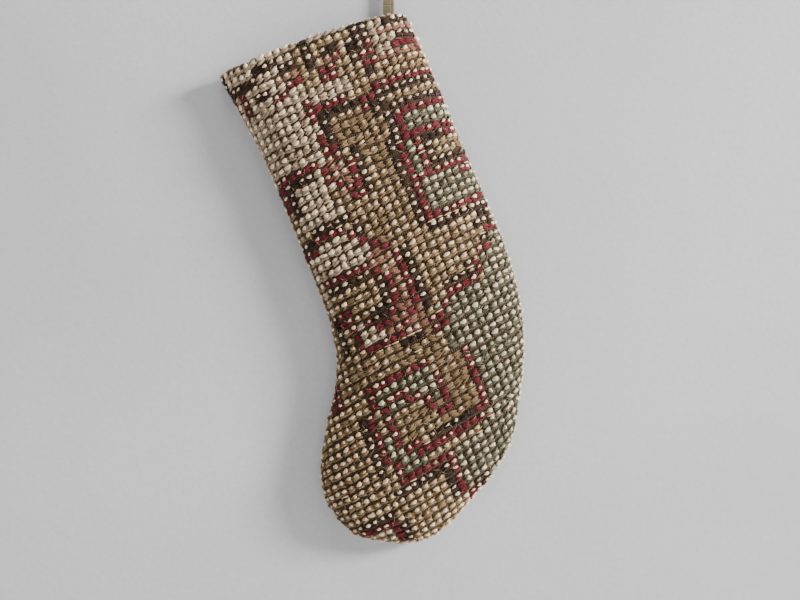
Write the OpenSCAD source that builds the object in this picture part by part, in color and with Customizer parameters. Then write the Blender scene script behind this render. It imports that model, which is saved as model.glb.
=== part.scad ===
// Hanging stocking: a front cut from an old hand-knotted rug, a plain cloth back,
// a loose cloth lining and a tape loop sewn inside the mouth.
//
// The origin is the seat of the loop, where the inside of its bow rests on a hook or peg.
// +Z is up, +X is to the right of someone facing the stocking, +Y points into the wall.
//
// The sewn parts are laid out flat first, on axes of their own: u runs across the leg,
// v runs down it and w is the height off the wall. The whole stocking then tilts by
// hang_angle, because it hangs from the heel side of its mouth.

/* [Stocking] */
// Width of the mouth, from seam to seam
mouth_w = 154; // [140:1:170]
// Length from the rim to the bottom of the foot
stocking_l = 392; // [350:1:430]
// Height of the rug front off the wall at the mouth
mouth_depth = 24; // [21:0.5:28]
// Height of the rug front off the wall along the leg and foot
leg_depth = 28; // [24:0.5:34]
// Tilt of the leg when the stocking hangs still
hang_angle = 22.3; // [18:0.1:27]

/* [Rug front] */
// Thickness of the woven ground that the knots are tied on
ground_t = 3; // [2:0.1:4]
// Height of the worn knots on the ground
pile_t = 2; // [1:0.1:3]
// Width of the rug edge turned in behind the side seam
seam_w = 7; // [5:0.5:8]
// Depth of the rug turned in at the mouth
mouth_hem = 22; // [14:1:25]
// Thickness that the turned-in hem adds inside the mouth
hem_t = 3.5; // [2:0.1:4]

/* [Cloth back and lining] */
// Thickness of the back cloth
cloth_t = 1.2; // [0.8:0.1:1.5]
// Thickness of the lining cloth
lining_t = 0.8; // [0.5:0.1:1]

/* [Hanging loop] */
// Width of the tape
tape_w = 6; // [5:0.5:8]
// Thickness of the tape
tape_t = 1; // [0.6:0.1:1.2]
// Height of the seat of the loop above the rim
loop_h = 60; // [50:1:90]
// Diameter of the largest peg that the bow takes
peg_d = 10; // [8:1:14]
// Length of tape sewn down inside the mouth
tail_l = 20; // [16:1:22]
// Sideways step between the two ends of the tape where they are sewn
tape_step = 2.2; // [0:0.1:3]

/* [Stitches] */
// Diameter of the sewing thread
thread_d = 0.7; // [0.4:0.1:1]
// Length of a stitch that shows
stitch_l = 4; // [3:0.5:5]
// Distance from one stitch to the next
stitch_pitch = 6; // [5.5:0.5:10]

/* [Hidden] */

// Outline of a stocking 154 wide and 392 long, as [u, v], down the toe side, round the
// tip of the toe and back up the heel side
TOE_SIDE = [[-139, -8], [-135, 18], [-131, 56], [-130, 104], [-130, 152], [-131, 196],
            [-137, 226], [-149, 250], [-165, 273], [-179, 297], [-186, 320], [-182, 344]];
TOE_TIP = [-168, 364];
HEEL_SIDE = [[-124, 382], [-77, 365], [-38, 340], [-15, 306], [3, 271], [13, 238],
             [18, 198], [18, 154], [17, 108], [17, 62], [16, 24], [15, -1]];
OUTLINE = [for (p = concat(TOE_SIDE, [TOE_TIP], HEEL_SIDE))
           [p.x * mouth_w / 154, p.y * stocking_l / 392]];
tip = len(TOE_SIDE);       // place of the toe's tip along the outline
rim_end = 2 * tip;         // place of the heel side's rim corner
squareness = 2.5;          // roundness of the section, 2 for an ellipse
toe_start = 9;             // row where the front starts to close over the toe
lining_start = 1;          // row where the lining starts, below the mouth hem
lining_end = 11.7;         // row where its back ends, before the front closes on it
row_l = 26;                // length of the first row, at the rim
hem_end = mouth_hem / row_l;
skin_gap = 0.05;           // air between layers of cloth that lie together
panel_inset = 1;           // how far the back panel stays inside the rug's outline
first_station = 0.25;      // spacing of the sections along the leg

// Layers, as insets from the outline and heights off the wall
ground_inner = pile_t + ground_t;
lining_outer = ground_inner + 2 * skin_gap;
lining_inner = lining_outer + lining_t;
seam_inner = pile_t + seam_w;
flange_top = cloth_t + ground_t;
lining_floor = flange_top + lining_t;

// Sections along the stocking, closer together where the toe closes
STATIONS = concat([for (s = [0 : first_station : tip - 1]) s],
                  [for (k = [0.25, 0.5, 0.7, 0.85, 0.95]) tip - 1 + k], [tip]);
LINING_STATIONS = [for (s = STATIONS) if (s >= lining_start) s];
// Angles round one section, from the toe side over the front to the heel side
ARC = [for (a = [0 : 11.25 : 180]) a];

// Loop: pair of tape legs that stand together at the mouth and part round the peg
wall_y = tape_w / 2 + 2;
bow_r = (peg_d + tape_t) / 2;
leg_gap = tape_t / 2 + skin_gap;
leg_y = wall_y - 2 * cloth_t - tape_t - skin_gap;
side_pivot_z = 6 - loop_h;
front_pivot_z = 18 - loop_h;
side_clear = 3;            // tape left out each side of the sideways pivot
front_clear = 1.5;         // tape left out each side of the forward pivot
loop_foot_z = front_pivot_z + front_clear;
bow_z = -peg_d / 2;

// ---- Curves ----

// Point at place t on a smooth curve through the points p
function spline(p, t) =
    let (n = len(p) - 1, i = min(floor(t), n - 1), f = t - i,
         a = p[max(i - 1, 0)], b = p[i], c = p[i + 1], d = p[min(i + 2, n)])
    0.5 * (2 * b + (c - a) * f + (2 * a - 5 * b + 4 * c - d) * f * f
           + (3 * b - a - 3 * c + d) * f * f * f);

function unit(v) = v / norm(v);
function mix(a, b, k) = a * (1 - k) + b * k;
function ease(q) = q * q * (3 - 2 * q);

function edge(t) = spline(OUTLINE, t);
function along(t) = unit(edge(min(t + 0.02, rim_end)) - edge(max(t - 0.02, 0)));
function across(t) = unit(edge(rim_end - t) - edge(t));

// Direction into the stocking: square to the outline, and level with the rim at the mouth
function inward(t) =
    let (d = along(t), square = [d.y, -d.x], low = min(t, rim_end - t))
    low >= 2 ? square : unit(mix(across(t), square, low / 2));

function inset(t, d) = edge(t) + d * inward(t);

// Height of the rug front off the wall at row s
function front_height(s) =
    let (full = mouth_depth + (leg_depth - mouth_depth) * ease(min(1, s / 3)),
         q = max(0, (s - toe_start) / (tip - toe_start)))
    full * pow(max(0, 1 - pow(q, squareness)), 1 / squareness);

// Point on a domed layer: d is how far it lies under the rug's face, base its lowest height
function dome_point(s, angle, d, base) =
    let (c = cos(angle), e = 2 / squareness,
         x = -sign(c) * pow(abs(c), e), z = pow(abs(sin(angle)), e),
         p = mix(inset(s, d), inset(rim_end - s, d), (1 + x) / 2),
         top = max(base, front_height(s) - d))
    [p.x, p.y, base + (top - base) * z];

function hem_at(s) = s <= hem_end ? hem_t : 0;

// [u, v, w] laid out flat, as a point of the model before it tilts
function place(p) = [p.x, -p.z, -p.y];
function lift(p, w) = [p.x, p.y, w];

// ---- Solids ----

// Faces between rings of n points, two to each step round the ring
function skin_faces(rings, n) =
    [for (i = [0 : rings - 2], k = [0 : n - 1])
        let (a = i * n + k, b = i * n + (k + 1) % n, c = b + n, d = a + n)
        each [[a, b, c], [a, c, d]]];

// Shell of one domed layer of cloth that closes over the toe. The section runs over the
// outside, along the seam edge turned in behind it, and back along the inside.
module shell(stations, outer, outer_base, inner, inner_base, turned = 0) {
    m = len(ARC);
    extra = turned > 0 ? 2 : 0;
    n = 2 * m + 2 * extra;
    body_stations = [for (s = stations) if (s < tip) s];
    rings = len(body_stations);
    // Points of one section
    function ring(s) = concat(
        [for (a = ARC) dome_point(s, a, outer, outer_base)],
        extra == 0 ? [] : [lift(inset(rim_end - s, turned), outer_base),
                           lift(inset(rim_end - s, turned), inner_base)],
        [for (k = [m - 1 : -1 : 0]) dome_point(s, ARC[k], inner + hem_at(s), inner_base)],
        extra == 0 ? [] : [lift(inset(s, turned), inner_base),
                           lift(inset(s, turned), outer_base)]);
    // The last section closes to one point for each layer at the tip of the toe
    tips = concat([lift(inset(tip, outer), outer_base)],
                  extra == 0 ? [] : [lift(inset(tip, turned), outer_base),
                                     lift(inset(tip, turned), inner_base)],
                  [lift(inset(tip, inner), inner_base)]);
    last = rings * n;
    function tip_of(k) =
        k < m ? last
        : k < m + extra ? last + 1 + k - m
        : k < 2 * m + extra ? last + 1 + extra
        : last + extra - (k - 2 * m - extra);
    side = skin_faces(rings, n);
    toe = [for (k = [0 : n - 1])
           let (a = (rings - 1) * n + k, b = (rings - 1) * n + (k + 1) % n,
                c = tip_of((k + 1) % n), d = tip_of(k))
           each concat([[a, b, c]], c == d ? [] : [[a, c, d]])];
    // The mouth end is a strip between the outside and the inside
    mouth = [for (k = [0 : m - 2])
             let (a = k, b = k + 1, c = 2 * m + extra - 2 - k, d = c + 1)
             each [[a, d, c], [a, c, b]]];
    flanges = extra == 0 ? [] : [
        [m - 1, m + 2, m + 1], [m - 1, m + 1, m],
        [0, 2 * m + 3, 2 * m + 2], [0, 2 * m + 2, 2 * m + 1]];
    points = concat([for (s = body_stations) each ring(s)], tips);
    polyhedron([for (p = points) place(p)], concat(side, toe, mouth, flanges));
}

// Flat piece of cloth inside the outline, from row s0 to row s1, from height w0 to w1
module flat_cloth(d, s0, s1, w0, w1) {
    rows = [for (s = STATIONS) if (s >= s0 && s <= s1) s];
    toe_edge = [for (s = rows) inset(s, d)];
    heel_edge = [for (k = [len(rows) - 1 : -1 : 0]) if (rows[k] < tip) inset(rim_end - rows[k], d)];
    translate([0, -w0, 0])
        rotate([90, 0, 0])
            linear_extrude(w1 - w0)
                polygon([for (p = concat(toe_edge, heel_edge)) [p.x, -p.y]]);
}

// One straight stitch, centred at p and lying along d
module stitch(p, d, l = stitch_l) {
    v = unit(d);
    translate(p)
        rotate([0, acos(v.z), atan2(v.y, v.x)])
            cylinder(h = l, d = thread_d, center = true, $fn = 16);
}

// Row of stitches along the outline, d inside it and w off the wall
module outline_stitches(d, w, from_row) {
    for (i = [0 : rim_end - 1]) {
        run = norm(OUTLINE[i + 1] - OUTLINE[i]);
        count = round(run / stitch_pitch);
        for (k = [0 : count - 1]) {
            t = i + (k + 0.5) / count;
            if (min(t, rim_end - t) > from_row) {
                v = along(t);
                stitch(place(lift(inset(t, d), w)), [v.x, 0, -v.y]);
            }
        }
    }
}

// Tilts the flat layout to the angle that the stocking hangs at
module hang() {
    translate([0, wall_y, -loop_h])
        rotate([0, -hang_angle, 0])
            children();
}

// Ribbon of tape through a list of [centre, width direction, thickness direction]
module ribbon(frames) {
    corners = [[-1, -1], [1, -1], [1, 1], [-1, 1]];
    points = [for (f = frames, c = corners)
              f[0] + c.x * tape_w / 2 * f[1] + c.y * tape_t / 2 * f[2]];
    last = 4 * (len(frames) - 1);
    caps = [[0, 1, 2], [0, 2, 3], [last, last + 2, last + 1], [last, last + 3, last + 2]];
    skin = [for (f = skin_faces(len(frames), 4)) [f.x, f.z, f.y]];
    polyhedron(points, concat(skin, caps));
}

// ---- Parts ----

module rug_ground() {
    color([0.62, 0.54, 0.43])
        hang() shell(STATIONS, pile_t, cloth_t, ground_inner, flange_top, seam_inner);
}

module rug_pile() {
    color([0.55, 0.44, 0.32])
        hang() shell(STATIONS, 0, cloth_t, pile_t - skin_gap, cloth_t);
}

module back_panel() {
    color([0.72, 0.66, 0.55])
        hang() {
            flat_cloth(panel_inset, 0, tip, 0, cloth_t);
            flat_cloth(seam_inner + 0.5, 0, hem_end, cloth_t, 2 * cloth_t);
        }
}

module lining_front() {
    color([0.83, 0.79, 0.7])
        hang() shell(LINING_STATIONS, lining_outer, flange_top, lining_inner, flange_top);
}

module lining_back() {
    color([0.83, 0.79, 0.7])
        hang() flat_cloth(lining_inner + 8 * skin_gap, lining_start, lining_end, flange_top,
                          lining_floor);
}

module side_seam_thread() {
    color([0.45, 0.37, 0.28])
        hang() outline_stitches(panel_inset - thread_d / 2 - 4 * skin_gap, cloth_t / 2, 0);
}

// Stitches across the inside of the front, near the edge of the turned-in hem
module mouth_hem_thread_front() {
    s = hem_end - 0.2;
    d = ground_inner + hem_t;
    color([0.45, 0.37, 0.28])
        hang()
            for (x = [-0.72 : 0.09 : 0.73]) {
                a = acos(-sign(x) * pow(abs(x), squareness / 2));
                p = dome_point(s, a, d, flange_top);
                run = place(dome_point(s, a + 1, d, flange_top) - dome_point(s, a - 1, d, flange_top));
                off = unit(cross(place([across(s).y, -across(s).x, 0]), run));
                stitch(place(p) - off * (thread_d / 2 + 4 * skin_gap) * sign(-off.y), run);
            }
}

// Stitches across the inside of the back hem, up to the tape
module mouth_hem_thread_back() {
    s = hem_end - 0.2;
    toe_end = inset(s, seam_inner);
    heel_end = inset(rim_end - s, seam_inner);
    count = floor(norm(heel_end - toe_end) / stitch_pitch);
    color([0.45, 0.37, 0.28])
        hang()
            for (k = [1 : count - 3])
                stitch(place(lift(mix(toe_end, heel_end, k / count), 2 * cloth_t + thread_d / 2)),
                       place(lift(across(s), 0)));
}

module lining_seam_thread() {
    color([0.88, 0.85, 0.78])
        hang() outline_stitches(lining_inner + 1, lining_floor + thread_d / 2, lining_start);
}

// The bow, which hangs on the hook, and the upper part of its two legs. The legs stand
// flat to the wall at the foot and turn square to it at the bow, one to each side.
module hanging_loop() {
    steps = 14;
    rise = bow_z - loop_foot_z;
    function leg(q, way) =
        let (e = ease(q), turn = 90 * e, r = mix(leg_gap, bow_r, e),
             out = [sin(turn), cos(turn), 0])
        [[way * (r * out.x + tape_step / 2 * (1 - e)), leg_y * (1 - e) + way * r * out.y,
          loop_foot_z + q * rise],
         [cos(turn), -sin(turn), 0], -way * out];
    front_leg = [for (k = [0 : steps]) leg(k / steps, -1)];
    bow = [for (a = [165 : -15 : 15])
           [[bow_r * cos(a), 0, bow_z + bow_r * sin(a)], [0, -1, 0], -[cos(a), 0, sin(a)]]];
    back_leg = [for (k = [steps : -1 : 0]) leg(k / steps, 1)];
    color([0.51, 0.47, 0.39])
        ribbon(concat(front_leg, bow, back_leg));
}

// The two legs of the tape side by side, from height z0 up to z1
module tape_legs(z0, z1) {
    for (way = [-1, 1])
        translate([way * tape_step / 2 - tape_w / 2, leg_y + way * leg_gap - tape_t / 2, z0])
            cube([tape_w, tape_t, z1 - z0]);
}

module loop_neck() {
    color([0.51, 0.47, 0.39])
        tape_legs(side_pivot_z + side_clear, front_pivot_z - front_clear);
}

module loop_tail() {
    color([0.51, 0.47, 0.39])
        tape_legs(-loop_h - tail_l, side_pivot_z - side_clear);
}

// Two bar tacks through both ends of the tape and the hem behind them
module loop_tack_thread() {
    bars = 3;
    color([0.35, 0.31, 0.24])
        for (z = [8, tail_l - 5], k = [0 : bars - 1])
            stitch([-tape_step / 2, leg_y - leg_gap - (tape_t + thread_d) / 2,
                    -loop_h - z - 1.2 * k], [1, 0, 0]);
}

rug_ground();
rug_pile();
back_panel();
lining_front();
lining_back();
side_seam_thread();
mouth_hem_thread_front();
mouth_hem_thread_back();
lining_seam_thread();
hanging_loop();
loop_neck();
loop_tail();
loop_tack_thread();
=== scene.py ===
"""Looks of a hanging stocking made from an old hand-knotted rug.

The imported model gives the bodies, the places and the sizes. Every CAD node is stood for
by a detailed piece: the rug's ground with its wool knots and pale cotton nubs, the turned
rim, the woven back, the two linings, the sewing threads and the tape of the loop.

The sewn parts are worked out on axes of their own, in millimetres: u runs across the leg,
v runs down it and w is the height off the wall. Hang turns them into the row frame.
"""
import logging
from dataclasses import dataclass, field
from enum import Enum
from math import cos, pi, radians, sin
from typing import Callable, Iterable, Sequence

import bpy
import numpy as np
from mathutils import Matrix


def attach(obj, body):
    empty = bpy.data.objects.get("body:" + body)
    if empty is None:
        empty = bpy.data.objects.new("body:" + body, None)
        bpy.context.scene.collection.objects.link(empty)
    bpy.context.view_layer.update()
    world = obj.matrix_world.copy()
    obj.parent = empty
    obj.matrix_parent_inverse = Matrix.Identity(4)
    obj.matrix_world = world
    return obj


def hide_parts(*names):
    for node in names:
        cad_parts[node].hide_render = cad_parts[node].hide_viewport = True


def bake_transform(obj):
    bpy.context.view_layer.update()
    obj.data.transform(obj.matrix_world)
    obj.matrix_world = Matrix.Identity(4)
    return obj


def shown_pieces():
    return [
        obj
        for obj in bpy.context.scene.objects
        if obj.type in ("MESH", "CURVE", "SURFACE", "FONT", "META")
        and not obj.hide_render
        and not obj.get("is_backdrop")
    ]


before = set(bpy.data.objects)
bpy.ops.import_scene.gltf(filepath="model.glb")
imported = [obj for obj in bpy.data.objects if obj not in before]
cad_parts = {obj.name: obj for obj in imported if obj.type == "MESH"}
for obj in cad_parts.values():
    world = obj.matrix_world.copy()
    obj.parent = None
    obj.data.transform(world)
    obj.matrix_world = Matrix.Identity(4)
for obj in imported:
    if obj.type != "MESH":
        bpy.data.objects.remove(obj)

log = logging.getLogger("stocking")

MM = 0.001
CLOSE = 1e-6


# ---------------------------------------------------------------- small mathematics


def ease(q: np.ndarray) -> np.ndarray:
    """Smooth step from 0 to 1.

    Args:
        q: Position along the step; it is held between 0 and 1.

    Returns:
        The smoothed position.
    """
    q = np.clip(q, 0.0, 1.0)
    return q * q * (3.0 - 2.0 * q)


def unit(v: np.ndarray) -> np.ndarray:
    """Vectors of length one.

    Args:
        v: Vectors along the last axis.

    Returns:
        The same directions with length one.
    """
    return v / np.maximum(np.linalg.norm(v, axis=-1, keepdims=True), 1e-9)


def srgb(red: int, green: int, blue: int) -> tuple[float, float, float, float]:
    """Turns a display colour into the linear colour that a shader takes.

    Args:
        red: Display red, 0 to 255.
        green: Display green, 0 to 255.
        blue: Display blue, 0 to 255.

    Returns:
        Linear red, green, blue and an alpha of one.
    """
    def channel(value: int) -> float:
        """Straightens one channel.

        Args:
            value: One display channel, 0 to 255.

        Returns:
            The linear channel, 0 to 1.
        """
        c = value / 255.0
        return c / 12.92 if c <= 0.04045 else ((c + 0.055) / 1.055) ** 2.4

    return channel(red), channel(green), channel(blue), 1.0


# ---------------------------------------------------------------- measures


@dataclass(frozen=True)
class Measures:
    """Driving sizes of the stocking, in millimetres, as in the CAD source."""

    hang_angle: float = 22.3
    loop_h: float = 60.0
    wall_y: float = 5.0
    mouth_depth: float = 24.0
    leg_depth: float = 28.0
    cloth_t: float = 1.2
    ground_t: float = 2.0
    pile_t: float = 2.1
    turn_r: float = 4.2
    rim_drop: float = 3.8
    hem_l: float = 20.0
    knot_w: float = 6.6
    knot_h: float = 6.35
    tape_w: float = 6.0
    tape_t: float = 1.0
    tape_step: float = 2.2
    peg_d: float = 10.0
    tail_l: float = 20.0
    thread_d: float = 0.7
    stitch_l: float = 4.0
    stitch_pitch: float = 6.0


SIZES = Measures()


class Hang:
    """Places the flat layout in the row frame, tilted to the angle it hangs at."""

    def __init__(self, sizes: Measures) -> None:
        """Turns the layout so that the tape hangs straight above it.

        Args:
            sizes: Driving sizes of the stocking.
        """
        a = radians(sizes.hang_angle)
        self.axes = np.array([[cos(a), 0.0, sin(a)], [sin(a), 0.0, -cos(a)], [0.0, -1.0, 0.0]])
        self.origin = np.array([0.0, sizes.wall_y, -sizes.loop_h])

    def point(self, uvw: np.ndarray) -> np.ndarray:
        """Takes points of the layout to the row frame.

        Args:
            uvw: Points of the layout, in millimetres.

        Returns:
            The points in the row frame, in metres.
        """
        return (self.origin + np.asarray(uvw, float) @ self.axes) * MM

    def direction(self, uvw: np.ndarray) -> np.ndarray:
        """Takes directions of the layout to the row frame.

        Args:
            uvw: Directions of the layout.

        Returns:
            The directions in the row frame.
        """
        return np.asarray(uvw, float) @ self.axes


HANG = Hang(SIZES)


# ---------------------------------------------------------------- outline and form


class Outline:
    """The sewn outline of the stocking, a smooth line through a few points."""

    TOE_SIDE = ((-139, -8), (-135, 18), (-131, 56), (-130, 104), (-130, 152), (-131, 196),
                (-137, 226), (-149, 250), (-165, 273), (-179, 297), (-186, 320), (-182, 344))
    TOE_TIP = (-168, 364)
    HEEL_SIDE = ((-124, 382), (-77, 365), (-38, 340), (-15, 306), (3, 271), (13, 238),
                 (18, 198), (18, 154), (17, 108), (17, 62), (16, 24), (15, -1))
    SAMPLES = 961
    EXTENSION = 60.0

    def __init__(self) -> None:
        """Works out a fine line round the outline, with its directions and normals."""
        self.points = np.array(self.TOE_SIDE + (self.TOE_TIP,) + self.HEEL_SIDE, float)
        self.end = len(self.points) - 1
        self.tip = self.end // 2
        line = self.edge(np.linspace(0.0, self.end, self.SAMPLES))
        head = unit(line[0] - line[4])
        tail = unit(line[-1] - line[-5])
        reach = np.array([[self.EXTENSION], [self.EXTENSION / 2]])
        self.line = np.vstack([line[0] + reach * head, line, line[-1] + reach[::-1] * tail])
        steps = np.gradient(self.line, axis=0)
        self.spacing = np.linalg.norm(steps, axis=1)
        self.tangents = unit(steps)
        self.normals = np.stack([self.tangents[:, 1], -self.tangents[:, 0]], axis=1)

    def edge(self, t: np.ndarray) -> np.ndarray:
        """Finds points on the sewn outline.

        Args:
            t: Places along the outline, 0 at the toe side of the rim.

        Returns:
            The points there, as (u, v).
        """
        t = np.clip(np.asarray(t, float), 0.0, self.end)
        i = np.minimum(np.floor(t).astype(int), self.end - 1)
        f = (t - i)[..., None]
        p = self.points
        a, b = p[np.maximum(i - 1, 0)], p[i]
        c, d = p[i + 1], p[np.minimum(i + 2, self.end)]
        return 0.5 * (2 * b + (c - a) * f + (2 * a - 5 * b + 4 * c - d) * f * f
                      + (3 * b - a - 3 * c + d) * f ** 3)

    def along(self, t: np.ndarray) -> np.ndarray:
        """Finds which way the outline runs.

        Args:
            t: Places along the outline.

        Returns:
            Unit directions along it, down the toe side and up the heel side.
        """
        t = np.asarray(t, float)
        return unit(self.edge(t + 0.02) - self.edge(t - 0.02))

    def inset(self, t: np.ndarray, distance: float | np.ndarray) -> np.ndarray:
        """Finds points beside the outline.

        Args:
            t: Places along the outline.
            distance: How far inside the outline.

        Returns:
            Points inside the outline, as (u, v).
        """
        d = self.along(t)
        across = np.stack([d[..., 1], -d[..., 0]], axis=-1)
        return self.edge(t) + np.asarray(distance)[..., None] * across

    def span(self, s: np.ndarray, x: np.ndarray, distance: float | np.ndarray) -> np.ndarray:
        """Finds points between the toe side and the heel side.

        Args:
            s: Rows down the stocking, 0 at the rim and 12 at the tip of the toe.
            x: Places across a row, 0 at the toe side and 1 at the heel side.
            distance: How far both ends lie inside the outline.

        Returns:
            Points between the two sides, as (u, v).
        """
        left = self.inset(s, distance)
        right = self.inset(self.end - s, distance)
        return left * (1.0 - x[..., None]) + right * x[..., None]

    def signed(self, flat: np.ndarray) -> tuple[np.ndarray, np.ndarray]:
        """Measures how far points lie from the outline.

        Args:
            flat: Points, as (u, v).

        Returns:
            How far each lies inside the outline, and the way inwards there.
        """
        distance = np.zeros(len(flat))
        inwards = np.zeros((len(flat), 2))
        places = np.arange(len(self.line))
        for start in range(0, len(flat), 2000):
            part = flat[start:start + 2000]
            gap = part[:, None, :] - self.line[None]
            near = (gap ** 2).sum(axis=2).argmin(axis=1)
            reach = gap[np.arange(len(part)), near]
            slip = (reach * self.tangents[near]).sum(axis=1) / self.spacing[near]
            at = near + np.clip(slip, -0.5, 0.5)
            foot = np.column_stack([np.interp(at, places, x) for x in self.line.T])
            way = unit(np.column_stack([np.interp(at, places, x) for x in self.normals.T]))
            distance[start:start + 2000] = ((part - foot) * way).sum(axis=1)
            inwards[start:start + 2000] = way
        return distance, inwards


@dataclass
class Lie:
    """Where points of the flat rug lie once it is sewn: places and local directions."""

    point: np.ndarray
    across: np.ndarray
    down: np.ndarray
    normal: np.ndarray


class RugForm:
    """Bends the flat rug over the stocking's front and turns its rim in at the mouth."""

    HALF = 75.0
    SQUARENESS = 2.5
    ROLL = 1.1

    def __init__(self, outline: Outline, sizes: Measures) -> None:
        """Works out the dome that the sewn rug takes up.

        Args:
            outline: The sewn outline.
            sizes: Driving sizes of the stocking.
        """
        self.outline = outline
        self.sizes = sizes
        self.reach = self.HALF * np.linspace(0.0, 1.0, 3001) ** 3
        rise = self._profile(self.reach, np.full(3001, sizes.leg_depth))
        steps = np.hypot(np.diff(self.reach), np.diff(rise))
        self.arc = np.concatenate([[0.0], np.cumsum(steps)])
        self.excess = self.arc[-1] - self.HALF
        ends = outline.points[[0, -1]]
        rim = unit(ends[1] - ends[0])
        self.up = np.array([rim[1], -rim[0]])
        self.rim_start = ends[0] - self.up * sizes.rim_drop
        self.lap = pi * 0.8 * sizes.turn_r

    def _profile(self, d: np.ndarray, height: np.ndarray) -> np.ndarray:
        """Gives the dome's height by the distance from its edge.

        Args:
            d: Distances inside the outline.
            height: Full height of the dome at each.

        Returns:
            Heights of the dome off the wall.
        """
        base = self.sizes.cloth_t
        x = np.clip(1.0 - d / self.HALF, 0.0, 1.0)
        bulge = (1.0 - x ** self.SQUARENESS) ** (1.0 / self.SQUARENESS)
        return base + (height - base) * bulge

    def margin(self, flat: np.ndarray) -> np.ndarray:
        """Measures from the edge of the cut rug.

        Args:
            flat: Points of the flat rug.

        Returns:
            How far each lies inside the edge of the cut rug.
        """
        return self.outline.signed(flat)[0] + self.excess

    def above_rim(self, flat: np.ndarray) -> np.ndarray:
        """Measures from the line where the rim turns in.

        Args:
            flat: Points of the flat rug.

        Returns:
            How far each lies past the line where the rim starts to turn in.
        """
        return (flat - self.rim_start) @ self.up

    def front(self, flat: np.ndarray) -> np.ndarray:
        """Carries the flat rug over the dome.

        Args:
            flat: Points of the flat rug, below the rim.

        Returns:
            Points (u, v, w) of the outer face of the pile.
        """
        d, inwards = self.outline.signed(flat)
        past = d + self.excess
        lies = np.where(past > self.arc[-1], d, np.interp(past, self.arc, self.reach))
        uv = flat + inwards * (lies - d)[:, None]
        u, v = uv.T
        full = self.sizes.mouth_depth + (self.sizes.leg_depth - self.sizes.mouth_depth) \
            * ease((v + 8.0) / 80.0)
        w = self._profile(lies, full)
        rolled = ease((self.above_rim(flat) + 17.0) / 3.5)
        w = w + self.ROLL * rolled * ease(lies / 12.0)
        soft = ease(lies / 30.0)
        w = w + soft * (0.7 * np.sin(v / 27.0 + 0.8) + 0.5 * np.sin(u / 19.0 + v / 43.0)
                        + 0.35 * np.sin(v / 11.0 - u / 31.0))
        return np.column_stack([uv, w])

    @staticmethod
    def _even(direction: np.ndarray) -> np.ndarray:
        """Keeps the stretch of the cloth within what a rug gives.

        Args:
            direction: Directions along the cloth, as long as it is stretched there.

        Returns:
            The same directions with their lengths held.
        """
        size = np.linalg.norm(direction, axis=1)[:, None]
        return unit(direction) * np.clip(size, 0.8, 1.06)

    def lie(self, flat: np.ndarray, depth: float | np.ndarray) -> Lie:
        """Lays points of the flat rug over the dome and round the turned rim.

        Args:
            flat: Points of the flat rug, past the rim too.
            depth: How far under the outer face of the pile the points lie.

        Returns:
            Their places and directions in the layout.
        """
        flat = np.asarray(flat, float)
        past = self.above_rim(flat)
        over = np.maximum(past, 0.0)
        foot = flat - over[:, None] * self.up
        step = 0.6
        du, dv = np.array([step, 0.0]), np.array([0.0, step])
        across = (self.front(foot + du) - self.front(foot - du)) / (2 * step)
        down = (self.front(foot + dv) - self.front(foot - dv)) / (2 * step)
        normal = unit(np.cross(across, down))
        across = self._even(across)
        down = self._even(down - unit(across) * (down * unit(across)).sum(axis=1)[:, None])
        rise = unit(across * self.up[0] + down * self.up[1])
        point = self.front(foot)
        r = self.sizes.turn_r
        angle = np.minimum(over / self.lap, 1.0) * pi
        straight = np.maximum(over - self.lap, 0.0)
        c, s = np.cos(angle)[:, None], np.sin(angle)[:, None]
        turned = c * normal + s * rise
        depth = np.broadcast_to(np.asarray(depth, float), over.shape)[:, None]
        place = point - r * normal + (r - depth) * turned - straight[:, None] * rise
        place[:, 2] = np.maximum(place[:, 2], np.where(over > self.lap, 3.0, 1.0))
        downwards = np.where(past[:, None] > 0.0, s * normal - c * rise, down)
        return Lie(place, across, downwards, turned)


OUTLINE = Outline()
FORM = RugForm(OUTLINE, SIZES)


# ---------------------------------------------------------------- the knotted pattern


class Wool(Enum):
    """Wools of the rug, by their faded colour."""

    CREAM = "cream"
    CAMEL = "camel"
    SAGE = "sage"
    ROSE = "rose"
    CRIMSON = "crimson"
    BROWN = "brown"


@dataclass(frozen=True)
class Block:
    """A run of knots in one wool, from one corner knot to the other, both included."""

    wool: Wool
    left: int
    top: int
    right: int
    bottom: int


def blocks(wool: Wool, *corners: tuple[int, int, int, int]) -> list[Block]:
    """Makes several blocks of one wool.

    Args:
        wool: The wool of all the blocks.
        corners: Left column, top row, right column and bottom row of each.

    Returns:
        The blocks.
    """
    return [Block(wool, *c) for c in corners]


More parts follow.
